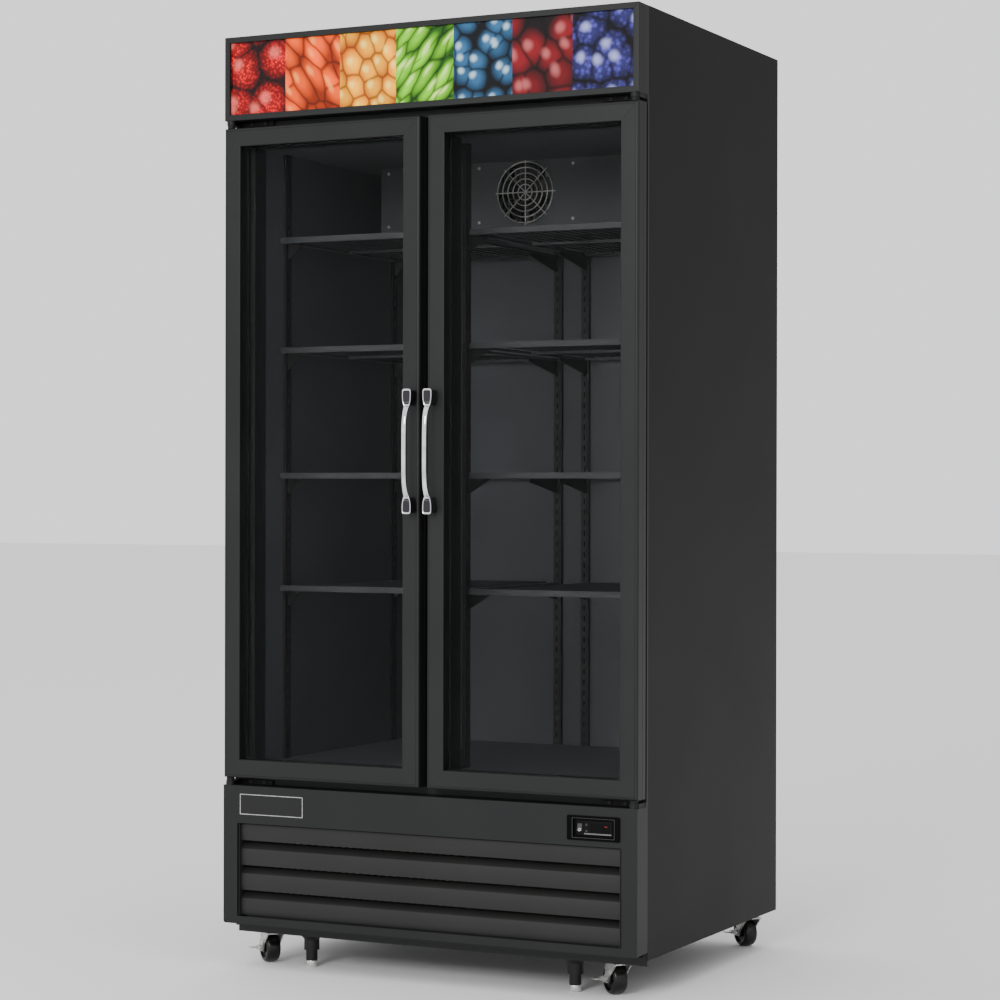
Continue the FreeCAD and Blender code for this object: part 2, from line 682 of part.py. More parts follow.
def controls():
    """Bevelled black bezel, digital controller with two keys, and the rocker light switch beside it."""
    x_mid, z_mid = controls_place()
    front = door_front - bezel_stand
    plate = rounded_plate(x_mid, z_mid, bezel_width, bezel_height, front, bezel_stand, bezel_corner)
    collar = rounded_plate(x_mid, z_mid, window_width + 8.0 - 2 * flat_fit,
                           window_height + 5.0 - 2 * flat_fit, door_front, panel_sheet + 2.0, bezel_corner)
    window = box(x_mid - window_width / 2, x_mid + window_width / 2, front - 1.0, door_front + 10.0,
                 z_mid - window_height / 2, z_mid + window_height / 2)
    bevel_outer = [(x_mid + sx * (window_width / 2 + window_bevel), front,
                    z_mid + sz * (window_height / 2 + window_bevel))
                   for sx, sz in ((-1, -1), (1, -1), (1, 1), (-1, 1))]
    bevel_inner = [(x_mid + sx * window_width / 2, front + window_bevel, z_mid + sz * window_height / 2)
                   for sx, sz in ((-1, -1), (1, -1), (1, 1), (-1, 1))]
    rings = [Part.makePolygon([Vector(*p) for p in ring + ring[:1]]) for ring in (bevel_outer, bevel_inner)]
    bevel = Part.makeLoft(rings, True, True)

    face = door_front + panel_sheet + 2.0
    right = x_mid + window_width / 2 - controller_right_gap
    left = right - controller_width
    z0, z1 = z_mid - controller_height / 2, z_mid + controller_height / 2
    switch_x = left - 3.0 - switch_width / 2
    switch_half = switch_width / 2
    housing_left = switch_x - switch_half - 2.5
    floor_plate = box(x_mid - window_width / 2 - 1.0, x_mid + window_width / 2 + 1.0, face - window_floor, face,
                      z_mid - window_height / 2 - 1.0, z_mid + window_height / 2 + 1.0)
    floor_hole = box(housing_left + window_lap, right - window_lap, face - window_floor - 1.0, face + 1.0,
                     z0 + window_lap, z1 - window_lap)
    keep("control_bezel", fused([fused([plate, collar]).cut(window).cut(bevel), floor_plate.cut(floor_hole)]))

    body = box(left, right, face, face + controller_depth, z0, z1)
    display = box(left + 16.0, right - 6.0, face - 1.0, face + 0.8, z0 + 7.0, z1 - 6.0)
    key_x = left + 8.0
    key_places = [(key_x, z_mid + 6.5), (key_x, z_mid - 6.5)]
    key_back = face - key_proud + 6.0
    wells = [rod(key_radius + running_fit, (x, face - 1.0, z), (x, key_back + key_travel + 0.7, z))
             for x, z in key_places]
    body = body.cut(Part.makeCompound([display] + wells))

    housing = box(housing_left, left - 0.2, face, face + 22.0, z0, z1)
    pocket = box(switch_x - switch_half - 0.3, switch_x + switch_half + 0.3, face - 1.0, face + 9.5,
                 z_mid - switch_height / 2 - 0.9, z_mid + switch_height / 2 + 0.9)
    pivot_y = face + 3.0
    pivot_radius = 1.2
    pivot_reach = switch_half + 1.5
    pivot_hole = rod(pivot_radius + running_fit, (switch_x - pivot_reach - 0.2, pivot_y, z_mid),
                     (switch_x + pivot_reach + 0.2, pivot_y, z_mid))
    housing = housing.cut(Part.makeCompound([pocket, pivot_hole]))
    tray = box(housing_left, right, face, face + 30.0, z0 - 2.0, z0)
    keep("temperature_controller", [body, housing, tray])

    for name, (x, z) in zip(("controller_key_up", "controller_key_down"), key_places):
        key = rod(key_radius, (x, face - key_proud, z), (x, key_back, z))
        front_edge = [e for e in key.Edges if abs(e.BoundBox.YMax - (face - key_proud)) < 0.01
                      and e.BoundBox.YLength < 0.01]
        keep(name, key.makeFillet(0.4, front_edge))

    half_height = switch_height / 2
    outline = [(switch_x - switch_half, pivot_y + 3.0, z_mid - half_height),
               (switch_x - switch_half, pivot_y + 3.0, z_mid + half_height),
               (switch_x - switch_half, pivot_y - 2.4, z_mid + half_height),
               (switch_x - switch_half, pivot_y - 1.2, z_mid),
               (switch_x - switch_half, pivot_y - 2.4, z_mid - half_height)]
    rocker = fused([prism(outline, (switch_width, 0, 0)),
                    rod(pivot_radius, (switch_x - pivot_reach, pivot_y, z_mid),
                        (switch_x + pivot_reach, pivot_y, z_mid))])
    keep("light_switch", turned(rocker, -switch_tilt, (switch_x, pivot_y, z_mid), (1, 0, 0)))


# ---------------------------------------------------------------- shelving
def shelf(x0, level):
    """Wire shelf: lengthwise wires welded on cross bars, a rod round the edge and a folded front lip."""
    x1 = x0 + shelf_width
    y0, y1 = door_front + shelf_front, interior_rear - shelf_rear_gap
    lip = fused([
        box(x0, x1, y0, y0 + shelf_lip_sheet, level - shelf_lip, level),
        box(x0, x1, y0, y0 + shelf_lip_depth, level - shelf_lip_sheet, level),
        box(x0, x1, y0, y0 + shelf_lip_depth / 2, level - shelf_lip, level - shelf_lip + shelf_lip_sheet),
    ])
    wire_z = level - shelf_lip_sheet - wire_under_lip - shelf_wire_radius
    bar_high = wire_z - shelf_wire_radius + wire_weld
    bar_width = 2 * shelf_bar_radius
    bar_low = bar_high - bar_width
    pieces = [lip]
    for y in (y0 + shelf_lip_depth + 8.0, (y0 + y1) / 2, y1 - bar_width):
        pieces.append(box(x0, x1, y, y + bar_width, bar_low, bar_high))
    for x in (x0, x1 - bar_width):
        pieces.append(box(x, x + bar_width, y0 + shelf_lip_sheet, y1, bar_low, bar_high))
    count = int((shelf_width - bar_width) / shelf_wire_pitch)
    pitch = (shelf_width - bar_width) / count
    for index in range(1, count):
        x = x0 + bar_width / 2 + index * pitch
        pieces.append(rod(shelf_wire_radius, (x, y0 + shelf_lip_sheet / 2, wire_z),
                          (x, y1 - wire_weld, wire_z)))
    return fused(pieces), bar_low


def shelving():
    """Slotted standards, brackets and shelves."""
    front_y = door_front + front_pilaster_back
    rear_y = interior_rear - rear_pilaster_gap
    slot_depth = pilaster_depth - 1.5
    standards = []
    for y in (front_y, rear_y):
        wall_bar = slotted_bar(-interior_half, -interior_half + pilaster_depth, y, y + pilaster_width,
                               deck_level, ceiling_level, [(1, 0)], slot_depth)
        standards += both_sides(wall_bar)
    half_post = centre_post_width / 2
    post = slotted_bar(-half_post, half_post, front_y, front_y + pilaster_width, deck_level,
                       ceiling_level, [(1, 0), (-1, 0)], slot_depth)
    strip_x = shelf_middle_gap / 2
    cover_bottom = ceiling_level - evaporator_height
    strip = slotted_bar(-strip_x - rear_strip_width / 2, -strip_x + rear_strip_width / 2,
                        interior_rear - rear_strip_depth, interior_rear, deck_level, cover_bottom,
                        [(0, -1)], slot_depth)
    keep("shelf_pilasters", standards + [post] + both_sides(strip))

    brackets = []
    shelves = []
    x0 = -interior_half + shelf_side_gap
    for share in shelf_heights:
        level = deck_level + share * (ceiling_level - deck_level)
        wire_shelf, seat = shelf(x0, level)
        shelves.append(wire_shelf)
        for y in (front_y, rear_y):
            y_mid = y + pilaster_width / 2 - bracket_sheet / 2
            starts = [(-interior_half + pilaster_depth, 1)]
            if y == front_y:
                starts.append((-half_post, -1))
            for start, way in starts:
                reach = bracket_length if way > 0 else bracket_length + strip_x - half_post
                tip = start + way * reach
                outline = [(start, y_mid, seat), (tip, y_mid, seat), (tip, y_mid, seat - 5.0),
                           (start + way * 5.0, y_mid, seat - bracket_height),
                           (start, y_mid, seat - bracket_height)]
                brackets.append(prism(outline, (0, bracket_sheet, 0)))
        arm_rear = interior_rear - rear_strip_depth
        arm_front = arm_rear - rear_arm_length
        x_arm = -strip_x - bracket_sheet / 2 - shelf_bar_radius
        outline = [(x_arm, arm_rear, seat), (x_arm, arm_front, seat), (x_arm, arm_front, seat - 7.0),
                   (x_arm, arm_rear, seat - bracket_height)]
        brackets.append(prism(outline, (bracket_sheet, 0, 0)))
    keep("shelf_brackets", [half for shape in brackets for half in both_sides(shape)])
    keep("left_shelves", shelves)
    keep("right_shelves", [mirrored(s) for s in shelves])


# ---------------------------------------------------------------- refrigeration
def fan(radius, hub_radius, width, shaft_radius, blade_count):
    """Fan with its middle at the origin, turning about Y, and a bore for the motor shaft."""
    hub = rod(hub_radius, (0, -width / 2, 0), (0, width / 2, 0))
    blade = box(-radius * 0.30, radius * 0.30, -0.8, 0.8, hub_radius - 3.0, radius)
    blade = turned(blade, 28, axis=(0, 0, 1))
    tip = rod(radius, (0, -width, 0), (0, width, 0))
    blades = [turned(blade, 360.0 / blade_count * index, axis=(0, 1, 0)) for index in range(blade_count)]
    body = fused([hub] + blades).common(tip)
    return body.cut(rod(shaft_radius + running_fit, (0, -width, 0), (0, width, 0)))


def fin_block(x0, x1, y0, y1, z0, z1, pitch, slot):
    """Finned coil: a block with grooves cut between its fins from the front and from the rear."""
    block = box(x0, x1, y0, y1, z0, z1)
    core = (y1 - y0) * 0.2
    middle = (y0 + y1) / 2
    grooves = []
    for index in range(int((x1 - x0 - pitch) / pitch)):
        x = x0 + pitch * (index + 0.75)
        grooves.append(box(x, x + slot, y0 - 1.0, middle - core / 2, z0 - 1.0, z1 + 1.0))
        grooves.append(box(x, x + slot, middle + core / 2, y1 + 1.0, z0 - 1.0, z1 + 1.0))
    return block.cut(Part.makeCompound(grooves))


def u_bends(x, way, y0, y1, z0, z1, count):
    """Return bends that stand out of a coil's end."""
    bends = []
    step = (z1 - z0) / (2 * count)
    for index in range(count):
        z_mid = z0 + step * (2 * index + 1)
        ring = Part.makeTorus(step / 2, tube_radius, Vector(x, (y0 + y1) / 2, z_mid), Vector(0, 1, 0))
        half = box(min(x, x + way * step), max(x, x + way * step), y0, y1, z0, z1)
        bends.append(ring.common(half))
    return bends


def evaporator():
    """Coil at the ceiling, with a cover that carries the fan ring and the outlet slots."""
    half = evaporator_width / 2
    y0, y1 = interior_rear - evaporator_depth, interior_rear
    z0, z1 = ceiling_level - evaporator_height, ceiling_level
    sheet = evaporator_sheet
    shell = box(-half, half, y0, y1, z0, z1).cut(
        box(-half + sheet, half - sheet, y0 + sheet, y1 + 1.0, z0 + sheet, z1 + 1.0))
    fan_z = (z0 + z1) / 2
    ring_hole = rod(evaporator_fan_radius + fan_ring_clearance, (0, y0 - 1.0, fan_z),
                    (0, y0 + sheet + 1.0, fan_z))
    slot_length, slot_gap, slot_count = 60.0, 14.0, 5
    slots = []
    for index in range(slot_count):
        y = y0 + 60.0 + index * 30.0
        for side in (-1, 1):
            for share in (0.3, 0.62):
                middle = side * half * share
                slots.append(box(middle - slot_length / 2, middle + slot_length / 2, y, y + slot_gap,
                                 z0 - 1.0, z0 + sheet + 1.0))
    keep("evaporator_cover", shell.cut(Part.makeCompound([ring_hole] + slots)))

    coil_end = half - evaporator_coil_margin
    coil_y1 = y1 - evaporator_coil_gap
    coil_y0 = coil_y1 - evaporator_coil_depth
    coil_z0 = z0 + sheet + evaporator_drain_gap
    coil = fin_block(-coil_end, coil_end, coil_y0, coil_y1, coil_z0, z1, evaporator_fin_pitch,
                     evaporator_fin_slot)
    bends = u_bends(coil_end, 1, coil_y0, coil_y1, coil_z0, z1, 3)
    keep("evaporator_coil", fused([coil] + bends))

    fan_y = y0 + sheet + 16.0
    blades = fan(evaporator_fan_radius, 16.0, evaporator_fan_width, motor_shaft_radius, 5)
    keep("evaporator_fan", moved(blades, 0, fan_y, fan_z))
    return fan_motor(0, fan_y, fan_z, evaporator_fan_width, y0 + sheet,
                     evaporator_fan_radius + fan_ring_clearance)


def fan_motor(x, y_fan, z, fan_width, plate_y, ring_radius):
    """Motor behind a fan, carried by a strap that stands on the fan plate."""
    face = y_fan + fan_width / 2 + 4.0
    body = rod(motor_radius, (x, face, z), (x, face + motor_length, z))
    shaft = rod(motor_shaft_radius, (x, y_fan - fan_width / 2 + 1.0, z), (x, face, z))
    strap_back = face + strap_sheet
    reach = ring_radius + 6.0
    half_strap = strap_width / 2
    strap = box(x - reach, x + reach, face, strap_back, z - half_strap, z + half_strap)
    feet = [box(x + side * reach - strap_sheet / 2, x + side * reach + strap_sheet / 2,
                plate_y, strap_back, z - half_strap, z + half_strap) for side in (-1, 1)]
    return fused([body, shaft, strap] + feet)


def condensing_unit():
    """Condenser, shroud, fan and compressor in the space under the cabinet floor."""
    x0 = -half_width + condenser_left
    x1 = x0 + condenser_width
    y0 = door_front + condenser_back
    y1 = y0 + condenser_thickness
    z0, z1 = tray_top, tray_top + condenser_height
    coil = fin_block(x0, x1, y0, y1, z0, z1, condenser_fin_pitch, condenser_fin_slot)
    bends = u_bends(x1, 1, y0, y1, z0, z1, 5)
    keep("condenser_coil", fused([coil] + bends))

    x_mid, z_mid = (x0 + x1) / 2, (z0 + z1) / 2
    sheet = evaporator_sheet
    shroud_rear = y1 + shroud_depth
    shell = box(x0, x1, y1, shroud_rear, z0, z1).cut(
        box(x0 + sheet, x1 - sheet, y1 - 1.0, shroud_rear - sheet, z0 + sheet, z1 - sheet))
    hole = rod(condenser_fan_radius + fan_ring_clearance, (x_mid, shroud_rear - sheet - 1.0, z_mid),
               (x_mid, shroud_rear + 1.0, z_mid))
    keep("condenser_shroud", shell.cut(hole))

    fan_y = shroud_rear - sheet - 2.0
    blades = fan(condenser_fan_radius, 24.0, condenser_fan_width, motor_shaft_radius, 5)
    keep("condenser_fan", moved(blades, x_mid, fan_y, z_mid))
    keep("fan_motors", [evaporator(), fan_motor(x_mid, fan_y, z_mid, condenser_fan_width, shroud_rear,
                                                condenser_fan_radius + fan_ring_clearance)])
    return x1, y0


def compressor():
    """Hermetic compressor on a foot plate and four grommets, with its terminal cover."""
    x = half_width - compressor_side
    y = door_front + compressor_back
    foot_height, plate_sheet = 10.0, 4.0
    base = tray_top + foot_height
    top = base + plate_sheet + compressor_height
    shell = rod(compressor_radius, (x, y, base + plate_sheet), (x, y, top))
    rims = [e for e in shell.Edges if e.BoundBox.ZLength < 0.01]
    shell = shell.makeFillet(compressor_radius * 0.45, rims)
    seam_z = base + plate_sheet + compressor_height * 0.5
    seam = rod(compressor_radius + 3.0, (x, y, seam_z - 3.0), (x, y, seam_z + 3.0))
    foot_half = compressor_radius * 0.95
    plate = box(x - foot_half, x + foot_half, y - foot_half, y + foot_half, base, base + plate_sheet)
    pedestal = rod(compressor_radius * 0.5, (x, y, base), (x, y, base + plate_sheet + 30.0))
    grommets = [rod(9.0, (x + sx * foot_half * 0.82, y + sy * foot_half * 0.82, tray_top),
                    (x + sx * foot_half * 0.82, y + sy * foot_half * 0.82, base))
                for sx in (-1, 1) for sy in (-1, 1)]
    terminal = box(x - 32.0, x + 32.0, y - compressor_radius - 26.0, y - compressor_radius + 12.0,
                   seam_z - 42.0, seam_z - 5.0)
    keep("compressor", fused([shell, seam, plate, pedestal, terminal] + grommets))
    return x, y, top


def tube_run(points, radius):
    """Bent tube: straight legs joined by round elbows."""
    corners = [Vector(*point) for point in points]
    legs = [Part.makeCylinder(radius, (b - a).Length, a, b - a) for a, b in zip(corners, corners[1:])]
    elbows = [Part.makeSphere(radius, corner) for corner in corners[1:-1]]
    return fused(legs + elbows)


def refrigerant_lines(compressor_place, coil_corner):
    """Discharge line to the condenser, liquid line through the filter drier, and suction line."""
    x, y, top = compressor_place
    z_line = foam_bottom - 14.0
    coil_x, coil_y0 = coil_corner
    discharge_x = x - compressor_radius * 0.35
    discharge = tube_run([(discharge_x, y, top), (discharge_x, y, z_line),
                          (discharge_x, coil_y0 + 10.0, z_line),
                          (coil_x + 34.0, coil_y0 + 10.0, z_line),
                          (coil_x + 34.0, coil_y0 + 10.0, tray_top + condenser_height - 20.0),
                          (coil_x, coil_y0 + 10.0, tray_top + condenser_height - 20.0)], tube_radius)
    suction_x = x + compressor_radius * 0.35
    suction = tube_run([(suction_x, y, top), (suction_x, y, z_line),
                        (suction_x, body_rear - 30.0, z_line),
                        (suction_x, body_rear - 30.0, foam_bottom)], tube_radius)
    drier_z = tray_top + 30.0
    drier_x = coil_x + 42.0
    inlet_y = coil_y0 + condenser_thickness - 17.0
    drier_y0 = inlet_y + drier_lead
    drier_y1 = drier_y0 + drier_length
    drier = rod(drier_radius, (drier_x, drier_y0, drier_z), (drier_x, drier_y1, drier_z))
    inlet_leg = tube_run([(coil_x, inlet_y, drier_z), (drier_x, inlet_y, drier_z),
                          (drier_x, drier_y0, drier_z)], tube_radius)
    outlet_leg = tube_run([(drier_x, drier_y1, drier_z), (drier_x, drier_y1 + drier_lead, drier_z),
                           (drier_x, drier_y1 + drier_lead, foam_bottom)], tube_radius)
    keep("refrigerant_lines", [discharge, suction, fused([drier, inlet_leg, outlet_leg])])


def electrical_box():
    """Terminal box on the tray behind the controls, and the power inlet gland on the rear panel."""
    x1 = half_width - 20.0
    x0 = x1 - electrical_width
    y0 = door_front + condenser_back
    enclosure = box(x0, x1, y0, y0 + electrical_depth, tray_top, tray_top + electrical_height)
    edges = [e for e in enclosure.Edges if e.BoundBox.ZLength > electrical_height - 0.1]
    enclosure = enclosure.makeFillet(3.0, edges)
    x, z = half_width - 60.0, tray_top + 20.0
    inner = body_rear - outer_sheet
    flange = rod(inlet_radius + 6.0, (x, inner - 8.0, z), (x, inner, z))
    barrel = rod(inlet_radius - running_fit, (x, inner - 8.0, z), (x, body_rear, z))
    bore = rod(inlet_radius * 0.6, (x, inner - 9.0, z), (x, body_rear + 1.0, z))
    keep("electrical_box", [enclosure, fused([flange, barrel]).cut(bore)])


# ---------------------------------------------------------------- base, casters and legs
def base_tray():
    """Floor of the machine compartment, with side flanges and the slotted kick rail in front."""
    half = half_width - rail_inset
    inner_half = half_width - outer_sheet
    y0, y1 = rail_front + tray_sheet, body_rear - outer_sheet
    floor = box(-inner_half, inner_half, y0, y1, tray_level, tray_top)
    side = box(-inner_half, -inner_half + tray_sheet, y0, y1, tray_top, tray_level + tray_flange)
    rail_top = rail_bottom + rail_height
    rail = box(-half, half, rail_front, y0, rail_bottom, rail_top)
    slot_z = tray_top + rail_slot_rise
    slot_y0, slot_y1 = rail_front - 1.0, rail_front + tray_sheet + 1.0
    slot = box(-half + rail_slot_margin, half - rail_slot_margin, slot_y0, slot_y1,
               slot_z, slot_z + rail_slot_height)
    end_x = half - rail_slot_margin * 0.4
    end_slot = box(end_x - rail_end_slot / 2, end_x + rail_end_slot / 2, slot_y0, slot_y1,
                   slot_z - 1.0, slot_z + rail_slot_height + 1.0)
    rail = rail.cut(Part.makeCompound([slot] + both_sides(end_slot)))
    keep("base_tray", [floor, rail] + both_sides(side))


def wheel(centre_z):
    """Moulded wheel about a Y axle, with recessed sides and a proud hub."""
    half = wheel_width / 2
    rim = wheel_radius
    edge = 5.0
    bore = axle_radius + running_fit
    hub = wheel_radius * 0.34
    hub_half = half + fork_side_gap - flat_fit
    recess = 6.0
    web_half = half - recess
    rim_inner = rim - 9.0
    points = [(bore, -hub_half), (hub, -hub_half), (hub, -web_half), (rim_inner, -web_half),
              (rim_inner, -half), (rim - edge, -half), (rim, -half + edge),
              (rim, half - edge), (rim - edge, half), (rim_inner, half), (rim_inner, web_half),
              (hub, web_half), (hub, hub_half), (bore, hub_half)]
    face = Part.Face(Part.makePolygon([Vector(r, y, 0) for r, y in points + points[:1]]))
    body = face.revolve(Vector(0, 0, 0), Vector(0, 1, 0), 360)
    return moved(body, caster_trail, 0, centre_z)


def caster_fork(centre_z):
    """Pressed fork with its crown, lower race and axle bolt. Local X is the trail, local Y the axle."""
    crown_top = rail_bottom - 0.4
    crown_bottom = crown_top - fork_sheet
    leg_in = wheel_width / 2 + fork_side_gap
    leg_out = leg_in + fork_sheet
    front, back = -race_radius - fork_lap, caster_trail + 2 * fork_lap
    crown = box(front, back, -leg_out, leg_out, crown_bottom, crown_top)
    eye = 8.5
    legs = []
    for y in (leg_in, -leg_out):
        outline = [(front, y, crown_top), (back, y, crown_top),
                   (caster_trail + eye * 0.95, y, centre_z + 3.0),
                   (caster_trail + eye * 0.5, y, centre_z - eye * 0.85),
                   (caster_trail - eye * 0.5, y, centre_z - eye * 0.85),
                   (caster_trail - eye * 0.95, y, centre_z + 3.0)]
        legs.append(prism(outline, (0, fork_sheet, 0)))
    race = rod(race_radius, (0, 0, crown_top), (0, 0, crown_top + 4.0))
    king_hole = rod(king_pin_radius + running_fit, (0, 0, crown_bottom - 1.0), (0, 0, crown_top + 5.0))
    axle = rod(axle_radius, (caster_trail, -leg_out - 3.0, centre_z),
               (caster_trail, leg_out + fork_sheet + 4.5, centre_z))
    nut = rod(axle_radius * 1.6, (caster_trail, -leg_out - 3.0, centre_z), (caster_trail, -leg_out, centre_z))
    head = rod(axle_radius * 1.5, (caster_trail, leg_out + fork_sheet + 1.0, centre_z),
               (caster_trail, leg_out + fork_sheet + 4.5, centre_z))
    return fused([crown.fuse(race).cut(king_hole)] + legs + [axle, nut, head])


def brake_lever(centre_z):
    """Side brake: a plate that rocks on the axle bolt, with a foot pedal turned outwards."""
    y0 = wheel_width / 2 + fork_side_gap + fork_sheet + flat_fit
    y1 = y0 + fork_sheet
    x = caster_trail
    tip = x + brake_reach
    plate = prism([(x - 5.0, y0, centre_z - 7.0), (x + 6.0, y0, centre_z - 7.5),
                   (tip, y0, centre_z - 7.0), (tip, y0, centre_z - 1.0),
                   (x + 9.0, y0, centre_z + 6.0), (x - 4.0, y0, centre_z + 20.0),
                   (x - 15.0, y0, centre_z + 22.0), (x - 16.0, y0, centre_z + 15.0),
                   (x - 8.0, y0, centre_z + 3.0)], (0, fork_sheet, 0))
    pedal = box(tip - 16.0, tip, y0, y1 + brake_pedal, centre_z - 4.0, centre_z - 1.0)
    hole = rod(axle_radius + running_fit, (x, y0 - 1.0, centre_z), (x, y1 + 1.0, centre_z))
    return fused([plate, pedal]).cut(hole)


def casters():
    """Four swivel casters. The rear left one rests at the mirrored heading, inside the cabinet's side."""
    front_y = door_front + front_caster_back
    rear_y = body_rear - rear_caster_back
    places = {
        "front_left": (-half_width + front_caster_side, front_y, front_wheel_clear),
        "front_right": (half_width - front_caster_side, front_y, front_wheel_clear),
        "rear_left": (-half_width + rear_caster_side, rear_y, 0.0),
        "rear_right": (half_width - rear_caster_side, rear_y, 0.0),
    }
    plates = []
    for name, (x, y, clear) in places.items():
        centre_z = wheel_radius + clear
        for piece, shape in (("fork", caster_fork(centre_z)), ("wheel", wheel(centre_z)),
                             ("brake", brake_lever(centre_z))):
            shape = turned(shape, caster_rest_angle)
            if name == "rear_left":
                shape = mirrored(shape)
            keep(name + "_" + piece, moved(shape, x, y))
        half_x, half_y = caster_plate_width / 2, caster_plate_length / 2
        plate = box(x - half_x, x + half_x, y - half_y + 14.0, y + half_y - 14.0,
                    tray_level - caster_plate_sheet, tray_level)
        crown_top = rail_bottom - 0.4
        race_z = crown_top + 4.0 + flat_fit
        race = rod(race_radius, (x, y, race_z), (x, y, tray_level - caster_plate_sheet))
        pin_bottom = crown_top - fork_sheet - flat_fit - 0.6
        pin = rod(king_pin_radius, (x, y, pin_bottom), (x, y, race_z))
        plates.append(fused([plate, race, pin]))
    keep("caster_plates", plates)


def levelling_legs():
    """Leg tubes under the tray, each with a screw foot that telescopes out of it."""
    places = {"left": -half_width + leg_side, "right": half_width - leg_side}
    y = door_front + leg_back
    tubes = []
    bore = leg_sleeve_radius + running_fit
    sleeve_top = leg_tube_bottom + foot_travel + 8.0
    for name, x in places.items():
        tube = rod(leg_tube_radius, (x, y, leg_tube_bottom), (x, y, tray_level))
        collar_top = rail_bottom - 0.3
        collar = Part.makeCone(leg_tube_radius, leg_collar_radius, leg_collar_height,
                               Vector(x, y, collar_top - leg_collar_height))
        hollow = rod(bore, (x, y, leg_tube_bottom - 1.0), (x, y, sleeve_top + 1.0))
        tubes.append(fused([tube, collar]).cut(hollow))
        sleeve = rod(leg_sleeve_radius, (x, y, foot_height), (x, y, sleeve_top))
        pad = rod(foot_radius, (x, y, 0.0), (x, y, foot_height))
        lower_rim = [e for e in pad.Edges if e.BoundBox.ZMax < 0.01]
        keep(name + "_foot", [pad.makeFillet(3.0, lower_rim), sleeve])
    keep("leg_tubes", tubes)


# ---------------------------------------------------------------- the whole object
cabinet_shell()
door_opening()
header()
light_bars()
doors()
hinges()
grille_panel()
louvres()
controls()
shelving()
refrigerant_lines(compressor(), condensing_unit())
electrical_box()
base_tray()
casters()
levelling_legs()

os.makedirs("parts", exist_ok=True)
for node_name, node_shape in nodes.items():
    node_shape.exportStep(os.path.join("parts", node_name + ".step"))
print(len(nodes), "nodes written")
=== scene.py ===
"""Looks of the two-door freezer merchandiser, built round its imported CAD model."""

import json
import math

import bmesh
import bpy
from mathutils import Matrix, Vector


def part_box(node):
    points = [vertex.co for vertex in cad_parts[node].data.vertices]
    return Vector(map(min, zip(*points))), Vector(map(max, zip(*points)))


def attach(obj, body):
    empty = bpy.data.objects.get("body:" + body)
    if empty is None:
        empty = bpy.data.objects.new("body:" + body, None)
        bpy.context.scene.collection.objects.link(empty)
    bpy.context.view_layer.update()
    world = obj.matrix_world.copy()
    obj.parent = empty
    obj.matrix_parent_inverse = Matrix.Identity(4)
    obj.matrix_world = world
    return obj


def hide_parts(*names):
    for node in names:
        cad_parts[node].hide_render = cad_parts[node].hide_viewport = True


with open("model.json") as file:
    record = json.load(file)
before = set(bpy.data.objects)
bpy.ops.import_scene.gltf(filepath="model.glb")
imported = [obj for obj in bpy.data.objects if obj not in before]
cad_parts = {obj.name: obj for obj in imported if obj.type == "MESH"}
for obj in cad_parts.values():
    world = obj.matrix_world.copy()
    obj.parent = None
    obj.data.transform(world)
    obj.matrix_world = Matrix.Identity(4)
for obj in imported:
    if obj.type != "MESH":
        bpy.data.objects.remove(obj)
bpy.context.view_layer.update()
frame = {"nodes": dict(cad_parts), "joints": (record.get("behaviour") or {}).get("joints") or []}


# ---------------------------------------------------------------- base tray and kick rail
# The floor of the machine compartment is a folded steel tray. Its front edge turns down into a
# slotted kick rail. The sheet is powder-coated black, which leaves a fine, even orange peel.
def linear(colour):
    """Linear RGBA of an sRGB hex colour."""
    parts = [int(colour[i:i + 2], 16) / 255 for i in (1, 3, 5)]
    return [c / 12.92 if c <= 0.04045 else ((c + 0.055) / 1.055) ** 2.4 for c in parts] + [1.0]


def add(tree, kind, sockets=None, **settings):
    """Adds a shader node: settings are its properties, sockets its values or what feeds them."""
    made = tree.nodes.new("ShaderNode" + kind)
    for name, value in settings.items():
        setattr(made, name, value)
    for name, value in (sockets or {}).items():
        if isinstance(value, bpy.types.NodeSocket):
            tree.links.new(value, made.inputs[name])
        else:
            made.inputs[name].default_value = value
    return made


def finish(name, colour, roughness, **shader):
    """A new material and its tree, Principled shader and Object coordinates."""
    material = bpy.data.materials.new(name)
    material.use_nodes = True
    tree = material.node_tree
    principled = tree.nodes["Principled BSDF"]
    principled.inputs["Base Color"].default_value = linear(colour)
    principled.inputs["Roughness"].default_value = roughness
    for socket, value in shader.items():
        principled.inputs[socket.replace("_", " ")].default_value = value
    place = add(tree, "TexCoord").outputs["Object"]
    return material, tree, principled, place


def two_tones(tree, shader, factor, dark, light, low=0.35, high=0.7):
    """Feeds the base colour from a factor that runs between two colours."""
    ramp = add(tree, "ValToRGB", {"Fac": factor})
    ramp.color_ramp.elements[0].position = low
    ramp.color_ramp.elements[0].color = linear(dark)
    ramp.color_ramp.elements[1].position = high
    ramp.color_ramp.elements[1].color = linear(light)
    tree.links.new(ramp.outputs["Color"], shader.inputs["Base Color"])


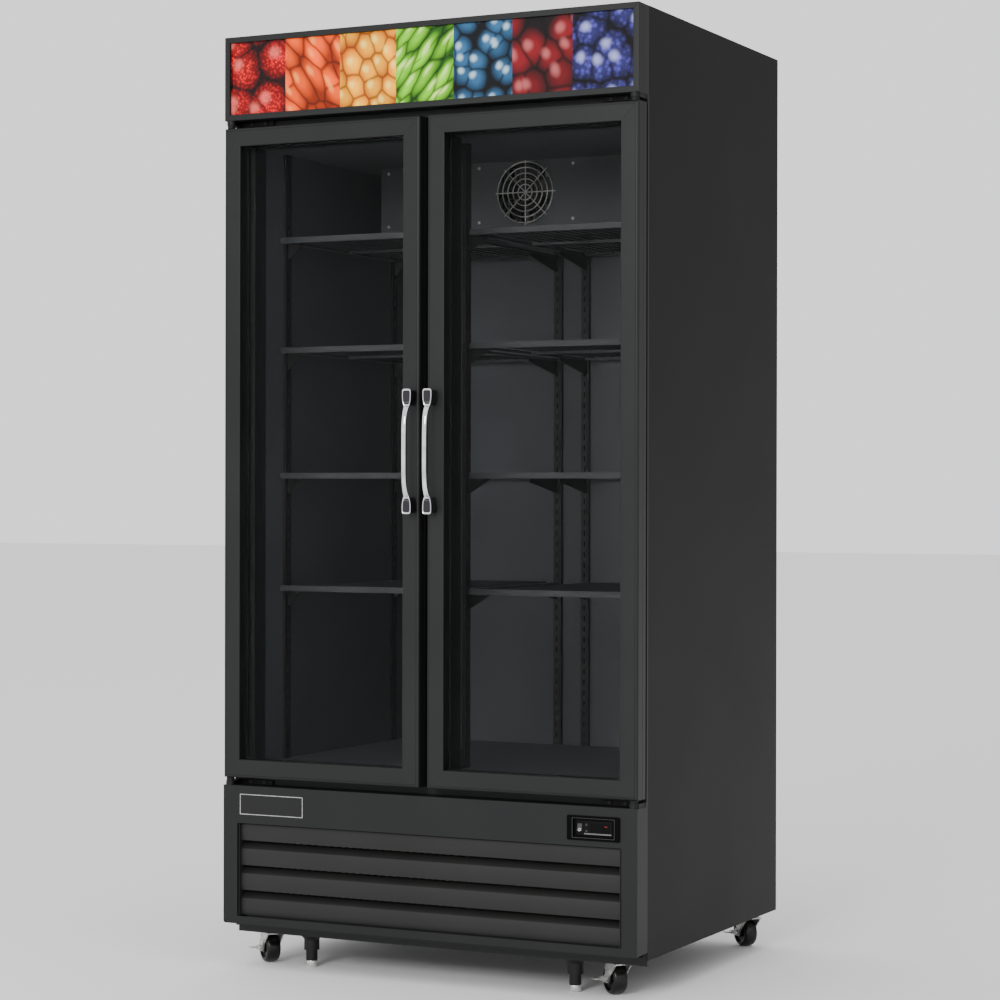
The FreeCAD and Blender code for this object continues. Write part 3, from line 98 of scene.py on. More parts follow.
def grained(name, dark, light, roughness, grain, height, **shader):
    """Coated or moulded skin: a grain sized in metres, and a slow drift in shade and gloss."""
    patches_per_metre, gloss_drift = 3.5, 0.02
    material, tree, principled, place = finish(name, dark, roughness, **shader)
    drift = add(tree, "TexNoise", {"Vector": place, "Scale": patches_per_metre, "Detail": 5.0,
                                   "Roughness": 0.6})
    two_tones(tree, principled, drift.outputs["Fac"], dark, light)
    gloss = add(tree, "MapRange", {"Value": drift.outputs["Fac"], "From Min": 0.3, "From Max": 0.7,
                                   "To Min": roughness - gloss_drift,
                                   "To Max": roughness + gloss_drift})
    tree.links.new(gloss.outputs["Result"], principled.inputs["Roughness"])
    pits = add(tree, "TexNoise", {"Vector": place, "Scale": 1 / grain, "Detail": 2.0})
    bump = add(tree, "Bump", {"Height": pits.outputs["Fac"], "Strength": 0.3, "Distance": height})
    tree.links.new(bump.outputs["Normal"], principled.inputs["Normal"])
    return material


def settle(shape, name, material, body, slot, *replaced, sharp=35, wall=0.0):
    """Makes a bmesh into a piece on a CAD body, standing for the CAD nodes it replaces."""
    bmesh.ops.remove_doubles(shape, verts=shape.verts, dist=1e-7)
    bmesh.ops.recalc_face_normals(shape, faces=shape.faces)
    mesh = bpy.data.meshes.new(name)
    shape.to_mesh(mesh)
    shape.free()
    mesh.polygons.foreach_set("use_smooth", [True] * len(mesh.polygons))
    mesh.set_sharp_from_angle(angle=math.radians(sharp))
    for layer in material if isinstance(material, list) else [material]:
        mesh.materials.append(layer)
    piece = bpy.data.objects.new(name, mesh)
    bpy.context.scene.collection.objects.link(piece)
    if wall:
        sheet = piece.modifiers.new("sheet", "SOLIDIFY")
        sheet.thickness = wall
        sheet.offset = -1
    even = piece.modifiers.new("even shading", "WEIGHTED_NORMAL")
    even.keep_sharp = True
    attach(piece, body)
    if replaced:
        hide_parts(*replaced)
    return piece


def bevel(shape, edges, width, segments=2):
    """Rounds edges to a width in metres."""
    bmesh.ops.bevel(shape, geom=list(edges), offset=width, offset_type="OFFSET", segments=segments,
                    profile=0.5, affect="EDGES", clamp_overlap=True, material=-1)


def folds(shape, low, high):
    """Edges whose faces meet at an angle between two limits, in degrees."""
    return [edge for edge in shape.edges
            if edge.is_manifold and math.radians(low) < edge.calc_face_angle() < math.radians(high)]


def faces_of(name):
    """Copy of a CAD node's mesh with its triangles joined into flat faces."""
    shape = bmesh.new()
    shape.from_mesh(frame["nodes"][name].data)
    bmesh.ops.remove_doubles(shape, verts=shape.verts, dist=1e-6)
    bmesh.ops.dissolve_limit(shape, angle_limit=math.radians(0.6), verts=shape.verts,
                             edges=shape.edges)
    return shape


def softened(name, width, angle=40, segments=2):
    """Copy of a CAD node's mesh with its sharp edges eased."""
    shape = faces_of(name)
    bevel(shape, folds(shape, angle, 181), width, segments)
    return shape


# Powder coat scatters light broadly. Its orange peel is drawn 3 mm wide, coarser than the real
# one, so that it shows.
tray_coat = grained("matt black powder coat", "#1a1b1b", "#1f2020", 0.5, 0.003, 0.0001,
                    Specular_IOR_Level=0.25)
folded_edge = 0.0005
settle(softened("base_tray", folded_edge), "base_tray_folded", tray_coat, "cabinet", "tray",
       "base_tray")


# ---------------------------------------------------------------- swivel casters
# Each caster is a pressed steel fork on a ball race, with a moulded black polyurethane wheel on
# a bolt and a side brake. Clear zinc plating leaves the steel pale, satin and slightly mottled.
def dress(material, *names):
    """Gives CAD nodes their finish."""
    for name in names:
        for slot in frame["nodes"][name].material_slots:
            slot.material = material


def plated(name, dark, light, roughness, spangle, metallic=1.0):
    """Metal with a mottle sized in metres: less than fully metallic where it is dulled."""
    material, tree, shader, place = finish(name, light, roughness, Metallic=metallic)
    mottle = add(tree, "TexNoise", {"Vector": place, "Scale": 1 / spangle, "Detail": 3.0})
    two_tones(tree, shader, mottle.outputs["Fac"], dark, light, 0.3, 0.7)
    bump = add(tree, "Bump", {"Height": mottle.outputs["Fac"], "Strength": 0.25,
                              "Distance": 0.0001})
    tree.links.new(bump.outputs["Normal"], shader.inputs["Normal"])
    return material


zinc = plated("zinc plated steel", "#a6a6a4", "#d8d8d6", 0.4, 0.006, 0.8)
dress(zinc, "caster_plates")
# Moulded polyurethane is deep black, smooth and half glossy.
polyurethane = grained("moulded polyurethane", "#060606", "#0a0a0a", 0.3, 0.001, 0.00006,
                       Specular_IOR_Level=0.35)

# The wheel's half profile as (radius, distance from its middle), from the bore out to the tread.
wheel_radius, wheel_half, bore_radius = 0.032, 0.016, 0.00405
wheel_profile = [(bore_radius, 0.0), (bore_radius, 0.0172), (0.0092, 0.0172), (0.011, 0.0164),
                 (0.011, 0.0112), (0.0125, 0.0100), (0.0205, 0.0100), (0.0225, 0.0118),
                 (0.0230, 0.0152), (0.0240, wheel_half), (0.0262, 0.0158), (0.0292, 0.0146),
                 (0.0311, 0.0118), (0.0318, 0.0075), (wheel_radius, 0.0)]
axles = {joint["child"]: (Vector(joint["pos_m"]), Vector(joint["axis"]))
         for joint in frame["joints"] if joint["name"].endswith("_roll")}

for corner in ("front_left", "front_right", "rear_left", "rear_right"):
    centre, axle = axles[corner + "_wheel"]
    shape = bmesh.new()
    rim = [shape.verts.new((radius, side, 0)) for radius, side in wheel_profile]
    rim += [shape.verts.new((radius, -side, 0)) for radius, side in wheel_profile[-2:0:-1]]
    loop = [shape.edges.new((a, b)) for a, b in zip(rim, rim[1:] + rim[:1])]
    bmesh.ops.spin(shape, geom=rim + loop, cent=(0, 0, 0), axis=(0, 1, 0), angle=math.tau, steps=64,
                   use_merge=True)
    turn = Vector((0, 1, 0)).rotation_difference(axle).to_matrix().to_4x4()
    bmesh.ops.transform(shape, matrix=Matrix.Translation(centre) @ turn, verts=shape.verts)
    settle(shape, corner + "_tyre", polyurethane, corner + "_wheel", "wheel", corner + "_wheel",
           sharp=50)
    for part, pressing in (("_fork", "_pressed_fork"), ("_brake", "_brake_lever")):
        node = corner + part
        settle(softened(node, folded_edge), corner + pressing, zinc, node, "zinc", node)


# ---------------------------------------------------------------- levelling legs
# A black nylon tube with a flared collar hangs under the tray near each front caster. A sleeve
# with a bright plated foot telescopes out of it and stands on the floor.

# Moulded nylon is satin with a faint grain, and nickel plate is bright and nearly smooth.
nylon = grained("moulded black nylon", "#070707", "#0b0b0b", 0.45, 0.0014, 0.00008,
                Specular_IOR_Level=0.3)
dress(nylon, "leg_tubes")
bright_foot = plated("nickel plated foot", "#bcbcba", "#e8e8e6", 0.26, 0.004, 0.85)


def turned_part(profile, x, y, steps=48):
    """Body of revolution about an upright line, from the (radius, height) points of its side."""
    shape = bmesh.new()
    ring = [shape.verts.new((radius, 0, height)) for radius, height in profile]
    loop = [shape.edges.new((a, b)) for a, b in zip(ring, ring[1:])]
    bmesh.ops.spin(shape, geom=ring + loop, cent=(0, 0, 0), axis=(0, 0, 1), angle=math.tau,
                   steps=steps, use_merge=True)
    bmesh.ops.remove_doubles(shape, verts=shape.verts, dist=1e-6)
    bmesh.ops.translate(shape, vec=(x, y, 0), verts=shape.verts)
    return shape


foot_radius, foot_top, sleeve_radius, sleeve_top = 0.0126, 0.0144, 0.0128, 0.0665
sleeve = [(0, foot_top), (0.0118, foot_top), (sleeve_radius, 0.0154), (sleeve_radius, sleeve_top),
          (0, sleeve_top)]
pad = [(0, 0.0), (0.0088, 0.0), (0.0112, 0.0008), (0.0123, 0.0024), (foot_radius, 0.0045),
       (foot_radius, 0.0132), (0.0120, foot_top), (0, foot_top)]
for foot in ("left_foot", "right_foot"):
    foot_low, foot_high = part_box(foot)
    foot_x, foot_y = (foot_low.x + foot_high.x) / 2, (foot_low.y + foot_high.y) / 2
    for profile, part, material, slot in ((sleeve, "_sleeve", nylon, "leg"),
                                          (pad, "_pad", bright_foot, "foot")):
        settle(turned_part(profile, foot_x, foot_y), foot + part, material, foot, slot, foot)


# ---------------------------------------------------------------- cabinet sheets
# The sides, top and rear are coated steel sheets round the foamed body. They are a warmer black
# than the front, and screws hold the vented rear sheet on.
side_coat = grained("textured black side coat", "#0f0c0d", "#110e0f", 0.52, 0.0032, 0.0001,
                    Specular_IOR_Level=0.15)
dress(side_coat, "left_side_panel", "right_side_panel", "top_panel", "rear_panel")
# Blackened screws are a little brighter than the sheet and show a dull metal glint.
black_screw = plated("blackened screw", "#1b1b1c", "#2b2b2c", 0.4, 0.002, 0.6)

rear_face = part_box("rear_panel")[1].y
screw_column_x, first_screw_z, screw_pitch, screw_rows = 0.488, 0.12, 0.32, 7
screw_places = [(side * screw_column_x, rear_face, first_screw_z + row * screw_pitch)
                for side in (-1, 1) for row in range(screw_rows)]
screw_places += [(x, rear_face, z) for x in (-0.25, 0.0, 0.25) for z in (0.1, 2.045)]


def screw_heads(places, facing, radius, height):
    """Domed screw heads on a sheet that faces along +Y or -Y."""
    top_share = 0.62
    shape = bmesh.new()
    for x, y, z in places:
        head = bmesh.ops.create_cone(shape, cap_ends=True, segments=18, radius1=radius,
                                     radius2=radius * top_share, depth=height)["verts"]
        bmesh.ops.rotate(shape, cent=(0, 0, 0), verts=head,
                         matrix=Matrix.Rotation(-facing * math.pi / 2, 3, "X"))
        bmesh.ops.translate(shape, vec=(x, y + facing * height / 2, z), verts=head)
    return shape


settle(screw_heads(screw_places, 1, 0.0045, 0.0018), "rear_sheet_screws", black_screw, "cabinet",
       "screw")


# ---------------------------------------------------------------- foam, liner and front frame
# Foamed-in-place walls carry a grey coated aluminium liner. A dark steel frame edges the opening,
# and black PVC breaker strips join it to the liner.

# Cut foam is buff and has no gloss. Its cells are drawn 2.5 mm wide, coarser than they are, so
# that they show.
foam, foam_tree, foam_shader, foam_place = finish("polyurethane foam", "#cdbb84", 0.9)
foam_cell = 0.0025
foam_cells = add(foam_tree, "TexVoronoi", {"Vector": foam_place, "Scale": 1 / foam_cell})
two_tones(foam_tree, foam_shader, foam_cells.outputs["Distance"], "#b7a368", "#d6c590", 0.1, 0.6)
foam_bump = add(foam_tree, "Bump", {"Height": foam_cells.outputs["Distance"], "Strength": 0.5,
                                    "Distance": 0.0006})
foam_tree.links.new(foam_bump.outputs["Normal"], foam_shader.inputs["Normal"])
dress(foam, "foam_insulation")

# The liner's coat is a flat mid grey, the frame's a satin black, and the strips' PVC the
# darkest and smoothest of the three.
liner_coat = grained("coated aluminium liner", "#3b3e42", "#44474b", 0.5, 0.0012, 0.00002)
dress(liner_coat, "interior_liner")
frame_coat = grained("dark front frame coat", "#1c1e1e", "#202222", 0.45, 0.003, 0.00008,
                     Specular_IOR_Level=0.25)
dress(frame_coat, "front_frame")
breaker_pvc = grained("black PVC breaker strip", "#0b0b0c", "#101011", 0.4, 0.002, 0.00004,
                      Specular_IOR_Level=0.3)
dress(breaker_pvc, "breaker_strips")


# ---------------------------------------------------------------- shelves and their standards
# Slotted black standards line the walls and the middle. Black brackets hook into them and carry
# wire shelves with a folded front lip, dipped in grey epoxy that rounds every edge.

# Both coats are baked on and satin, and the epoxy is the glossier of the two.
standard_coat = grained("black coated standard", "#121212", "#191919", 0.42, 0.002, 0.00006,
                        Specular_IOR_Level=0.35)
dress(standard_coat, "shelf_pilasters", "shelf_brackets")
shelf_epoxy = grained("grey epoxy shelf coat", "#2e3032", "#36383a", 0.36, 0.0015, 0.00005,
                      Specular_IOR_Level=0.4)
dress(shelf_epoxy, "left_shelves", "right_shelves")


# ---------------------------------------------------------------- evaporator
# A finned aluminium coil hangs at the ceiling behind a coated cover. A nylon fan blows through a
# round opening with a wire guard.
def finned(name, pitch):
    """Aluminium fins stacked along X at a pitch in metres: bright edges, painted shade in the gaps.
    """
    # Drawn about six times as wide as they are, so that they show.
    material, tree, shader, place = finish(name, "#b9bbbd", 0.35, Metallic=0.9)
    fins_and_gap_shade = add(tree, "TexWave", {"Vector": place, "Scale": 1 / (pitch * 20), "Distortion": 0.4,
                                  "Detail": 1.0})
    # The ramp's dark end is painted shade between the fins, and its light end is the fins' metal.
    two_tones(tree, shader, fins_and_gap_shade.outputs["Fac"], "#3a3c3e", "#c6c8ca", 0.25, 0.6)
    return material


dress(finned("aluminium evaporator fins", 0.004), "evaporator_coil")
# The cover has the liner's flat grey, the glass-filled nylon is dull, and baked enamel shines.
cover_coat = grained("coated evaporator cover", "#383b3e", "#414447", 0.48, 0.0012, 0.00002)
dress(cover_coat, "evaporator_cover")
fan_nylon = grained("glass-filled nylon", "#131313", "#1a1a1a", 0.42, 0.0016, 0.00006)
dress(fan_nylon, "evaporator_fan")
black_enamel = grained("gloss black enamel", "#0b0b0b", "#111111", 0.25, 0.006, 0.00008)
dress(black_enamel, "fan_motors", "compressor")


def edges_at(verts):
    """Edges at some vertices, each once, in an order that is the same in every run."""
    return list(dict.fromkeys(edge for vert in verts for edge in vert.link_edges))


guard_wire, guard_gap, guard_rings = 0.0013, 0.0035, (0.018, 0.031, 0.044, 0.057, 0.070)
spoke_length, spoke_setback = 0.152, guard_wire * 1.6
cover_low, cover_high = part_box("evaporator_cover")
fan_low, fan_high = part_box("evaporator_fan")
fan_centre = (fan_low + fan_high) / 2
guard = bmesh.new()
for radius in guard_rings:
    upright = Matrix.Translation((radius, 0, 0))
    wire = bmesh.ops.create_circle(guard, segments=8, radius=guard_wire, matrix=upright)["verts"]
    bmesh.ops.spin(guard, geom=wire + edges_at(wire), cent=(0, 0, 0), axis=(0, 1, 0),
                   angle=math.tau, steps=56, use_merge=True)
for spoke in range(4):
    lie = (Matrix.Rotation(spoke * math.pi / 4, 4, "Y")
           @ Matrix.Translation((0, spoke_setback, 0)))
    bmesh.ops.create_cone(guard, cap_ends=True, segments=8, radius1=guard_wire, radius2=guard_wire,
                          depth=spoke_length, matrix=lie)
bmesh.ops.translate(guard, vec=(fan_centre.x, cover_low.y - guard_gap, fan_centre.z),
                    verts=guard.verts)
settle(guard, "evaporator_fan_guard", zinc, "cabinet", "fan_metal")
cover_margin = 0.012
cover_screws = [(x, cover_low.y, z) for x in (-0.36, -0.12, 0.12, 0.36)
                for z in (cover_low.z + cover_margin, cover_high.z - cover_margin)]
settle(screw_heads(cover_screws, -1, 0.004, 0.0016), "evaporator_cover_screws", zinc, "cabinet",
       "screw")


# ---------------------------------------------------------------- LED bars
# Slim bars light the sign from behind and the shelves from the mullion's edges. Their lens is
# extruded smoke acrylic, frosted so that it looks grey and even.
led_lens = grained("frosted smoke lens", "#4c4f52", "#5a5d60", 0.4, 0.003, 0.00004)
dress(led_lens, "led_light_bars")


# ---------------------------------------------------------------- condensing unit
# Behind the grille stand the finned condenser with its galvanised shroud, an enamelled hermetic
# compressor, drawn copper lines and the terminal box.

# Zinc crystals mottle the shroud, the pressed fan is even, and copper tube is warm and bright.
dress(finned("aluminium condenser fins", 0.003), "condenser_coil")
dress(plated("galvanised shroud", "#6d6f70", "#9a9c9d", 0.42, 0.012), "condenser_shroud")
dress(plated("pressed aluminium fan", "#a9abac", "#c9cbcc", 0.35, 0.008), "condenser_fan")
dress(plated("drawn copper tube", "#8f5534", "#c9835a", 0.3, 0.01), "refrigerant_lines")
dress(nylon, "electrical_box")


# ---------------------------------------------------------------- grille panel, louvres and badge
# The lower front is one folded sheet with a wide opening. Four rolled blades shade it and let air
# through to the condenser. A small framed metal plate is bonded to its upper left corner.

# Both coats are sprayed and baked, which leaves a satin skin with the tray's orange peel.
grille_coat = grained("satin black front coat", "#151617", "#191a1a", 0.46, 0.003, 0.0001,
                      Specular_IOR_Level=0.25)
blade_coat = grained("satin black blade coat", "#1b1b1b", "#202020", 0.44, 0.003, 0.0001,
                     Specular_IOR_Level=0.3)
settle(softened("grille_panel", 0.0008), "grille_panel_folded", grille_coat, "cabinet",
       "grille_steel", "grille_panel")
# The blades' shallow creases are rolled wide, their folds are tight, and the end plates that lie
# beyond the blades are coated as the tray is.
rolled_crease, tight_fold, blade_half = 0.012, 0.0005, 0.4599
blades = faces_of("grille_louvres")
bevel(blades, folds(blades, 11, 22), rolled_crease, 6)
bevel(blades, folds(blades, 24, 80), tight_fold)
for face in blades.faces:
    face.material_index = int(abs(face.calc_center_median().x) > blade_half)
settle(blades, "grille_blades", [blade_coat, tray_coat], "cabinet", "grille_steel",
       "grille_louvres")


def mitred_bars(section, x0, x1, y0, z0, z1, seam=0.00025):
    """Four bars round a rectangle, mitred at the corners, from (inwards, rearwards) points."""
    shape = bmesh.new()
    for length, turn, x, z in ((z1 - z0, 0, x0, z0), (x1 - x0, 90, x0, z1),
                               (z1 - z0, 180, x1, z1), (x1 - x0, 270, x1, z0)):
        ring = [shape.verts.new((u, v, 0)) for u, v in section]
        end = shape.faces.new(ring)
        grown = bmesh.ops.extrude_face_region(shape, geom=[end])["geom"]
        far = [piece for piece in grown if isinstance(piece, bmesh.types.BMVert)]
        far_end = [piece for piece in grown if isinstance(piece, bmesh.types.BMFace)]
        bmesh.ops.translate(shape, vec=(0, 0, length), verts=far)
        slope = Matrix.Identity(4)
        slope[2][0] = 1
        bmesh.ops.transform(shape, matrix=slope, verts=ring)
        slope[2][0] = -1
        bmesh.ops.transform(shape, matrix=slope, verts=far)
        start_end = [face for face in ring[0].link_faces if all(v in ring for v in face.verts)]
        place = Matrix.Translation((x, y0, z)) @ Matrix.Rotation(math.radians(turn), 4, "Y")
        bmesh.ops.transform(shape, matrix=place, verts=ring + far)
        if seam:
            rims = dict.fromkeys(edge for face in far_end + start_end for edge in face.edges)
            bevel(shape, rims, seam, 1)
    return shape


def box_between(shape, low, high):
    """Adds a box to a bmesh."""
    low, high = Vector(low), Vector(high)
    made = bmesh.ops.create_cube(shape, size=1.0)["verts"]
    bmesh.ops.scale(shape, vec=high - low, verts=made)
    bmesh.ops.translate(shape, vec=(low + high) / 2, verts=made)


def eased_plate(low, high, width, segments=2):
    """Box with eased edges."""
    shape = bmesh.new()
    box_between(shape, low, high)
    bevel(shape, shape.edges, width, segments)
    return shape


# The rim is die-cast, polished and bright, round a plate of smooth charcoal enamel.
grille_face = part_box("grille_panel")[0].y
badge_left, badge_right, badge_bottom, badge_top = -0.457, -0.296, 0.3395, 0.385
rim_depth, plate_depth, plate_margin = 0.0012, 0.0007, 0.0018
badge_metal = plated("polished badge rim", "#9d9d9c", "#cfcfce", 0.25, 0.003)
badge_field = grained("charcoal badge enamel", "#0e100f", "#151716", 0.3, 0.0014, 0.00004,
                      Specular_IOR_Level=0.3)
badge_section = [(0, 0.0003), (0.0003, 0), (0.0016, 0), (0.0019, 0.0003), (0.0019, rim_depth),
                 (0, rim_depth)]
settle(mitred_bars(badge_section, badge_left, badge_right, grille_face - rim_depth, badge_bottom,
                   badge_top, 0.0), "badge_rim", badge_metal, "cabinet", "chrome")
badge = eased_plate(
    (badge_left + plate_margin, grille_face - plate_depth, badge_bottom + plate_margin),
    (badge_right - plate_margin, grille_face, badge_top - plate_margin), 0.0001, 1)
settle(badge, "badge_plate", badge_field, "cabinet", "chrome")


# ---------------------------------------------------------------- controls
# A gloss black moulded bezel frames a digital controller with two keys, and a rocker switch with
# a red pilot lamp. The display is a dark polycarbonate lens over a red dash.

# ABS from a polished mould is glossy, and matt where the mould is etched. The keys and the
# rocker are half glossy greys.
bezel_abs = grained("gloss black ABS", "#010101", "#020202", 0.16, 0.02, 0.00002,
                    Specular_IOR_Level=0.06)
settle(softened("control_bezel", 0.0003), "control_bezel_moulded", bezel_abs, "cabinet", "bezel",
       "control_bezel")
matt_abs = grained("matt black ABS", "#030303", "#060606", 0.5, 0.001, 0.00006,
                   Specular_IOR_Level=0.12)
dress(matt_abs, "temperature_controller")
key_abs = grained("grey key ABS", "#17181a", "#202123", 0.42, 0.001, 0.00004)
dress(key_abs, "controller_key_up", "controller_key_down")
rocker_plastic = grained("grey rocker polycarbonate", "#2b2d2b", "#3c3e3c", 0.3, 0.0012,
                         0.00004)
dress(rocker_plastic, "light_switch")

window_half_x, window_half_z, window_x, window_z = 0.04625, 0.01875, 0.4015, 0.3577
rim_margin, rim_proud, bezel_face = 0.0022, 0.0003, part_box("control_bezel")[0].y
rim_section = [(0, 0.0005), (0.0003, 0), (0.0009, 0), (0.0012, 0.0004), (0.0012, 0.0009),
               (0, 0.0009)]
rim_x, rim_z = window_half_x + rim_margin, window_half_z + rim_margin
# The rim is satin ABS. Its grey, lighter than the bezel's black, is a painted highlight along the
# window's edge.
rim_abs_painted_highlight = grained("satin ABS with painted highlight grey", "#2c2c2d", "#3a3a3b", 0.22, 0.001, 0.00003)
settle(mitred_bars(rim_section, window_x - rim_x, window_x + rim_x, bezel_face - rim_proud,
                   window_z - rim_z, window_z + rim_z, 0.0), "window_rim", rim_abs_painted_highlight, "cabinet",
       "bezel")

# The lens is smoked polycarbonate, near black and mirror smooth. The dash that glows through it
# stands 0.3 mm proud of it, so that it shows.
lens_left, lens_right, lens_bottom, lens_top = 0.39185, 0.43565, 0.3493, 0.3671
lens_back, lens_depth = -0.3788, 0.0010
display_lens = grained("smoked polycarbonate lens", "#010101", "#030303", 0.08, 0.01, 0.00001,
                       Specular_IOR_Level=0.1)
lens = eased_plate((lens_left, lens_back - lens_depth, lens_bottom),
                   (lens_right, lens_back, lens_top), 0.0003)
settle(lens, "display_lens", display_lens, "cabinet", "bezel")

red_led, led_tree, led_shader, led_place = finish("red LED segment", "#4a0404", 0.4,
                                                  Emission_Strength=0.15)
led_shader.inputs["Emission Color"].default_value = linear("#ff1a12")
led_spots = add(led_tree, "TexVoronoi", {"Vector": led_place, "Scale": 900.0})
two_tones(led_tree, led_shader, led_spots.outputs["Distance"], "#a0100c", "#500504", 0.2, 0.8)
dash = eased_plate((0.4245, lens_back - 0.0013, 0.3612), (0.4312, lens_back - 0.0009, 0.3626),
                   0.00015, 1)
settle(dash, "display_dash", red_led, "cabinet", "switch")

# A dull anodised strip underlines the display.
strip_metal = plated("dull silver strip", "#5c5c5b", "#7d7d7c", 0.3, 0.003, 0.8)
strip = eased_plate((0.3782, -0.3802, 0.3440), (0.4405, -0.3795, 0.3470), 0.0003)
settle(strip, "controller_trim", strip_metal, "cabinet", "chrome")

# The pilot lamp is a clear red lens in a white collar, and it tilts with the rocker.
lamp_white = grained("white lamp collar", "#a5a5a3", "#bcbcba", 0.3, 0.001, 0.00003)
lamp_red = grained("red lamp lens", "#7a0c0c", "#a31414", 0.15, 0.002, 0.00003)
lamp_centre, lamp_tilt, lamp_taper = (0.36725, -0.3793, 0.3531), math.radians(-18.5), 0.8
for name, material, radius, depth in (("pilot_lamp_collar", lamp_white, 0.0036, 0.0006),
                                      ("pilot_lamp_lens", lamp_red, 0.0021, 0.0011)):
    lamp = bmesh.new()
    bmesh.ops.create_cone(lamp, cap_ends=True, segments=28, radius1=radius,
                          radius2=radius * lamp_taper, depth=depth)
    forwards = Matrix.Rotation(lamp_tilt, 4, "X") @ Matrix.Rotation(math.pi / 2, 4, "X")
    bmesh.ops.transform(lamp, matrix=Matrix.Translation(lamp_centre) @ forwards, verts=lamp.verts)
    settle(lamp, name, material, "light_switch", "switch", sharp=60)


# ---------------------------------------------------------------- hinges
# Black coated steel brackets are screwed to the front frame above and below each door. Their pins
# turn in nylon bushes, which are duller than the coat.
hinge_coat = grained("coated hinge steel", "#121313", "#171818", 0.5, 0.002, 0.00006,
                     Specular_IOR_Level=0.2)
settle(softened("hinge_brackets", 0.0006), "hinge_brackets_eased", hinge_coat, "cabinet",
       "hinge_steel", "hinge_brackets")
bush_nylon = grained("black nylon bush", "#141515", "#1a1b1b", 0.55, 0.001, 0.00004,
                     Specular_IOR_Level=0.15)
dress(bush_nylon, "hinge_bushes")
dress(black_screw, "hinge_screws")


# ---------------------------------------------------------------- doors
# Each door is a frame of dark coated aluminium extrusion, mitred at the corners, round a sealed
# unit of two clear panes with a black spacer. A black magnetic gasket runs round the back.

# The coat over the extrusion is smooth and satin, PVC is dull, and anodising leaves the spacer
# satin black.
door_coat = grained("dark coated extrusion", "#181919", "#1c1d1d", 0.42, 0.002, 0.00005,
                    Specular_IOR_Level=0.25)
gasket_pvc = grained("soft black PVC gasket", "#0a0a0a", "#0f0f0f", 0.5, 0.0015, 0.00006)
dress(gasket_pvc, "left_door_gasket", "right_door_gasket")
spacer_metal = grained("black anodised spacer", "#0e0e0e", "#141414", 0.45, 0.001, 0.00003)
# Float glass is clear and mirror smooth, with a slight haze in patches where it was wiped.
glass, glass_tree, glass_shader, glass_place = finish(
    "clear float glass", "#0c100f", 0.02, Alpha=0.05, IOR=1.52, Specular_IOR_Level=0.35)
wiped = add(glass_tree, "TexNoise", {"Vector": glass_place, "Scale": 2.2, "Detail": 4.0})
haze = add(glass_tree, "MapRange", {"Value": wiped.outputs["Fac"], "From Min": 0.35,
                                    "From Max": 0.75, "To Min": 0.015, "To Max": 0.06})
glass_tree.links.new(haze.outputs["Result"], glass_shader.inputs["Roughness"])

# A stile's profile as (inwards, rearwards) from its outer front corner, with the groove that holds
# the glass unit.
stile, pane_edge, pane_thick = 0.0405, 0.0305, 0.004
door_section = [(0, 0.0048), (0.0006, 0.0026), (0.0020, 0.0010), (0.0042, 0.0001), (0.0052, 0.0),
                (0.0056, 0.0006), (0.0066, 0.0006), (0.0070, 0.0), (0.0388, 0.0), (0.0400, 0.0005),
                (stile, 0.0017), (stile, 0.007), (pane_edge, 0.007), (pane_edge, 0.035),
                (stile, 0.035), (stile, 0.042), (0.001, 0.042), (0, 0.041), (0, 0.0262),
                (0.0006, 0.0258), (0.0006, 0.0248), (0, 0.0244)]
spacer_section = [(0, 0), (0.007, 0), (0.007, 0.020), (0, 0.020)]

for side in ("left", "right"):
    body = side + "_door"
    low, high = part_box(body + "_frame")
    settle(mitred_bars(door_section, low.x, high.x, low.y, low.z, high.z), body + "_extrusions",
           door_coat, body, "door_metal", body + "_frame", sharp=40)
    low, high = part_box(body + "_glass")
    panes = bmesh.new()
    for pane_y in (low.y, high.y - pane_thick):
        box_between(panes, (low.x, pane_y, low.z), (high.x, pane_y + pane_thick, high.z))
    bevel(panes, panes.edges, 0.0004, 1)
    settle(panes, body + "_panes", glass, body, "glass", body + "_glass")
    settle(mitred_bars(spacer_section, low.x, high.x, low.y + pane_thick, low.z, high.z),
           body + "_spacer", spacer_metal, body, "glass", body + "_glass")


# ---------------------------------------------------------------- handles
# Die-cast chromed pulls: a bowed grip between two shield-shaped ends with dark insets, each end
# on a dark base screwed through the door frame.

# Chrome is mirror bright, and the moulded plastic beside it is dull and dark.
chrome = plated("bright chrome", "#d2d2d6", "#ececee", 0.09, 0.03)
inset_plastic = grained("satin graphite inset", "#1b191f", "#242128", 0.38, 0.001, 0.00004,
                        Specular_IOR_Level=0.3)
base_plastic = grained("black handle base", "#0e0d10", "#161518", 0.4, 0.001, 0.00004)

grip_half_length, shield_face, shield_length = 0.1335, 0.0300, 0.0370
shield_depth, shield_rim, shield_dish = 0.0052, 0.0016, 0.0009
half_outline = [(0.0060, 0.0), (0.0084, -0.0008), (0.0100, -0.0026), (0.0107, -0.0054),
                (0.0108, -0.0150), (0.0105, -0.0208), (0.0098, -0.0262), (0.0086, -0.0310),
                (0.0074, -0.0346), (0.0062, -shield_length)]
shield_outline = [(-x, z) for x, z in half_outline[::-1]] + half_outline


def swept(shape, path, steps=24):
    """Skinned bar of soft oval rings: place in Y and Z, lean, half width, half thickness."""
    squareness = 0.8
    rings = []
    for y, z, lean, wide, thick in path:
        made = bmesh.ops.create_circle(shape, segments=steps, radius=1.0)["verts"]
        for vert in made:
            vert.co.x = math.copysign(wide * abs(vert.co.x) ** squareness, vert.co.x)
            vert.co.y = math.copysign(thick * abs(vert.co.y) ** squareness, vert.co.y)
        place = Matrix.Translation((0, y, z)) @ Matrix.Rotation(lean, 4, "X")
        bmesh.ops.transform(shape, matrix=place, verts=made)
        rings.append(edges_at(made))
    for near, far in zip(rings, rings[1:]):
        bmesh.ops.bridge_loops(shape, edges=near + far)
    for end in (rings[0], rings[-1]):
        bmesh.ops.edgeloop_fill(shape, edges=end)


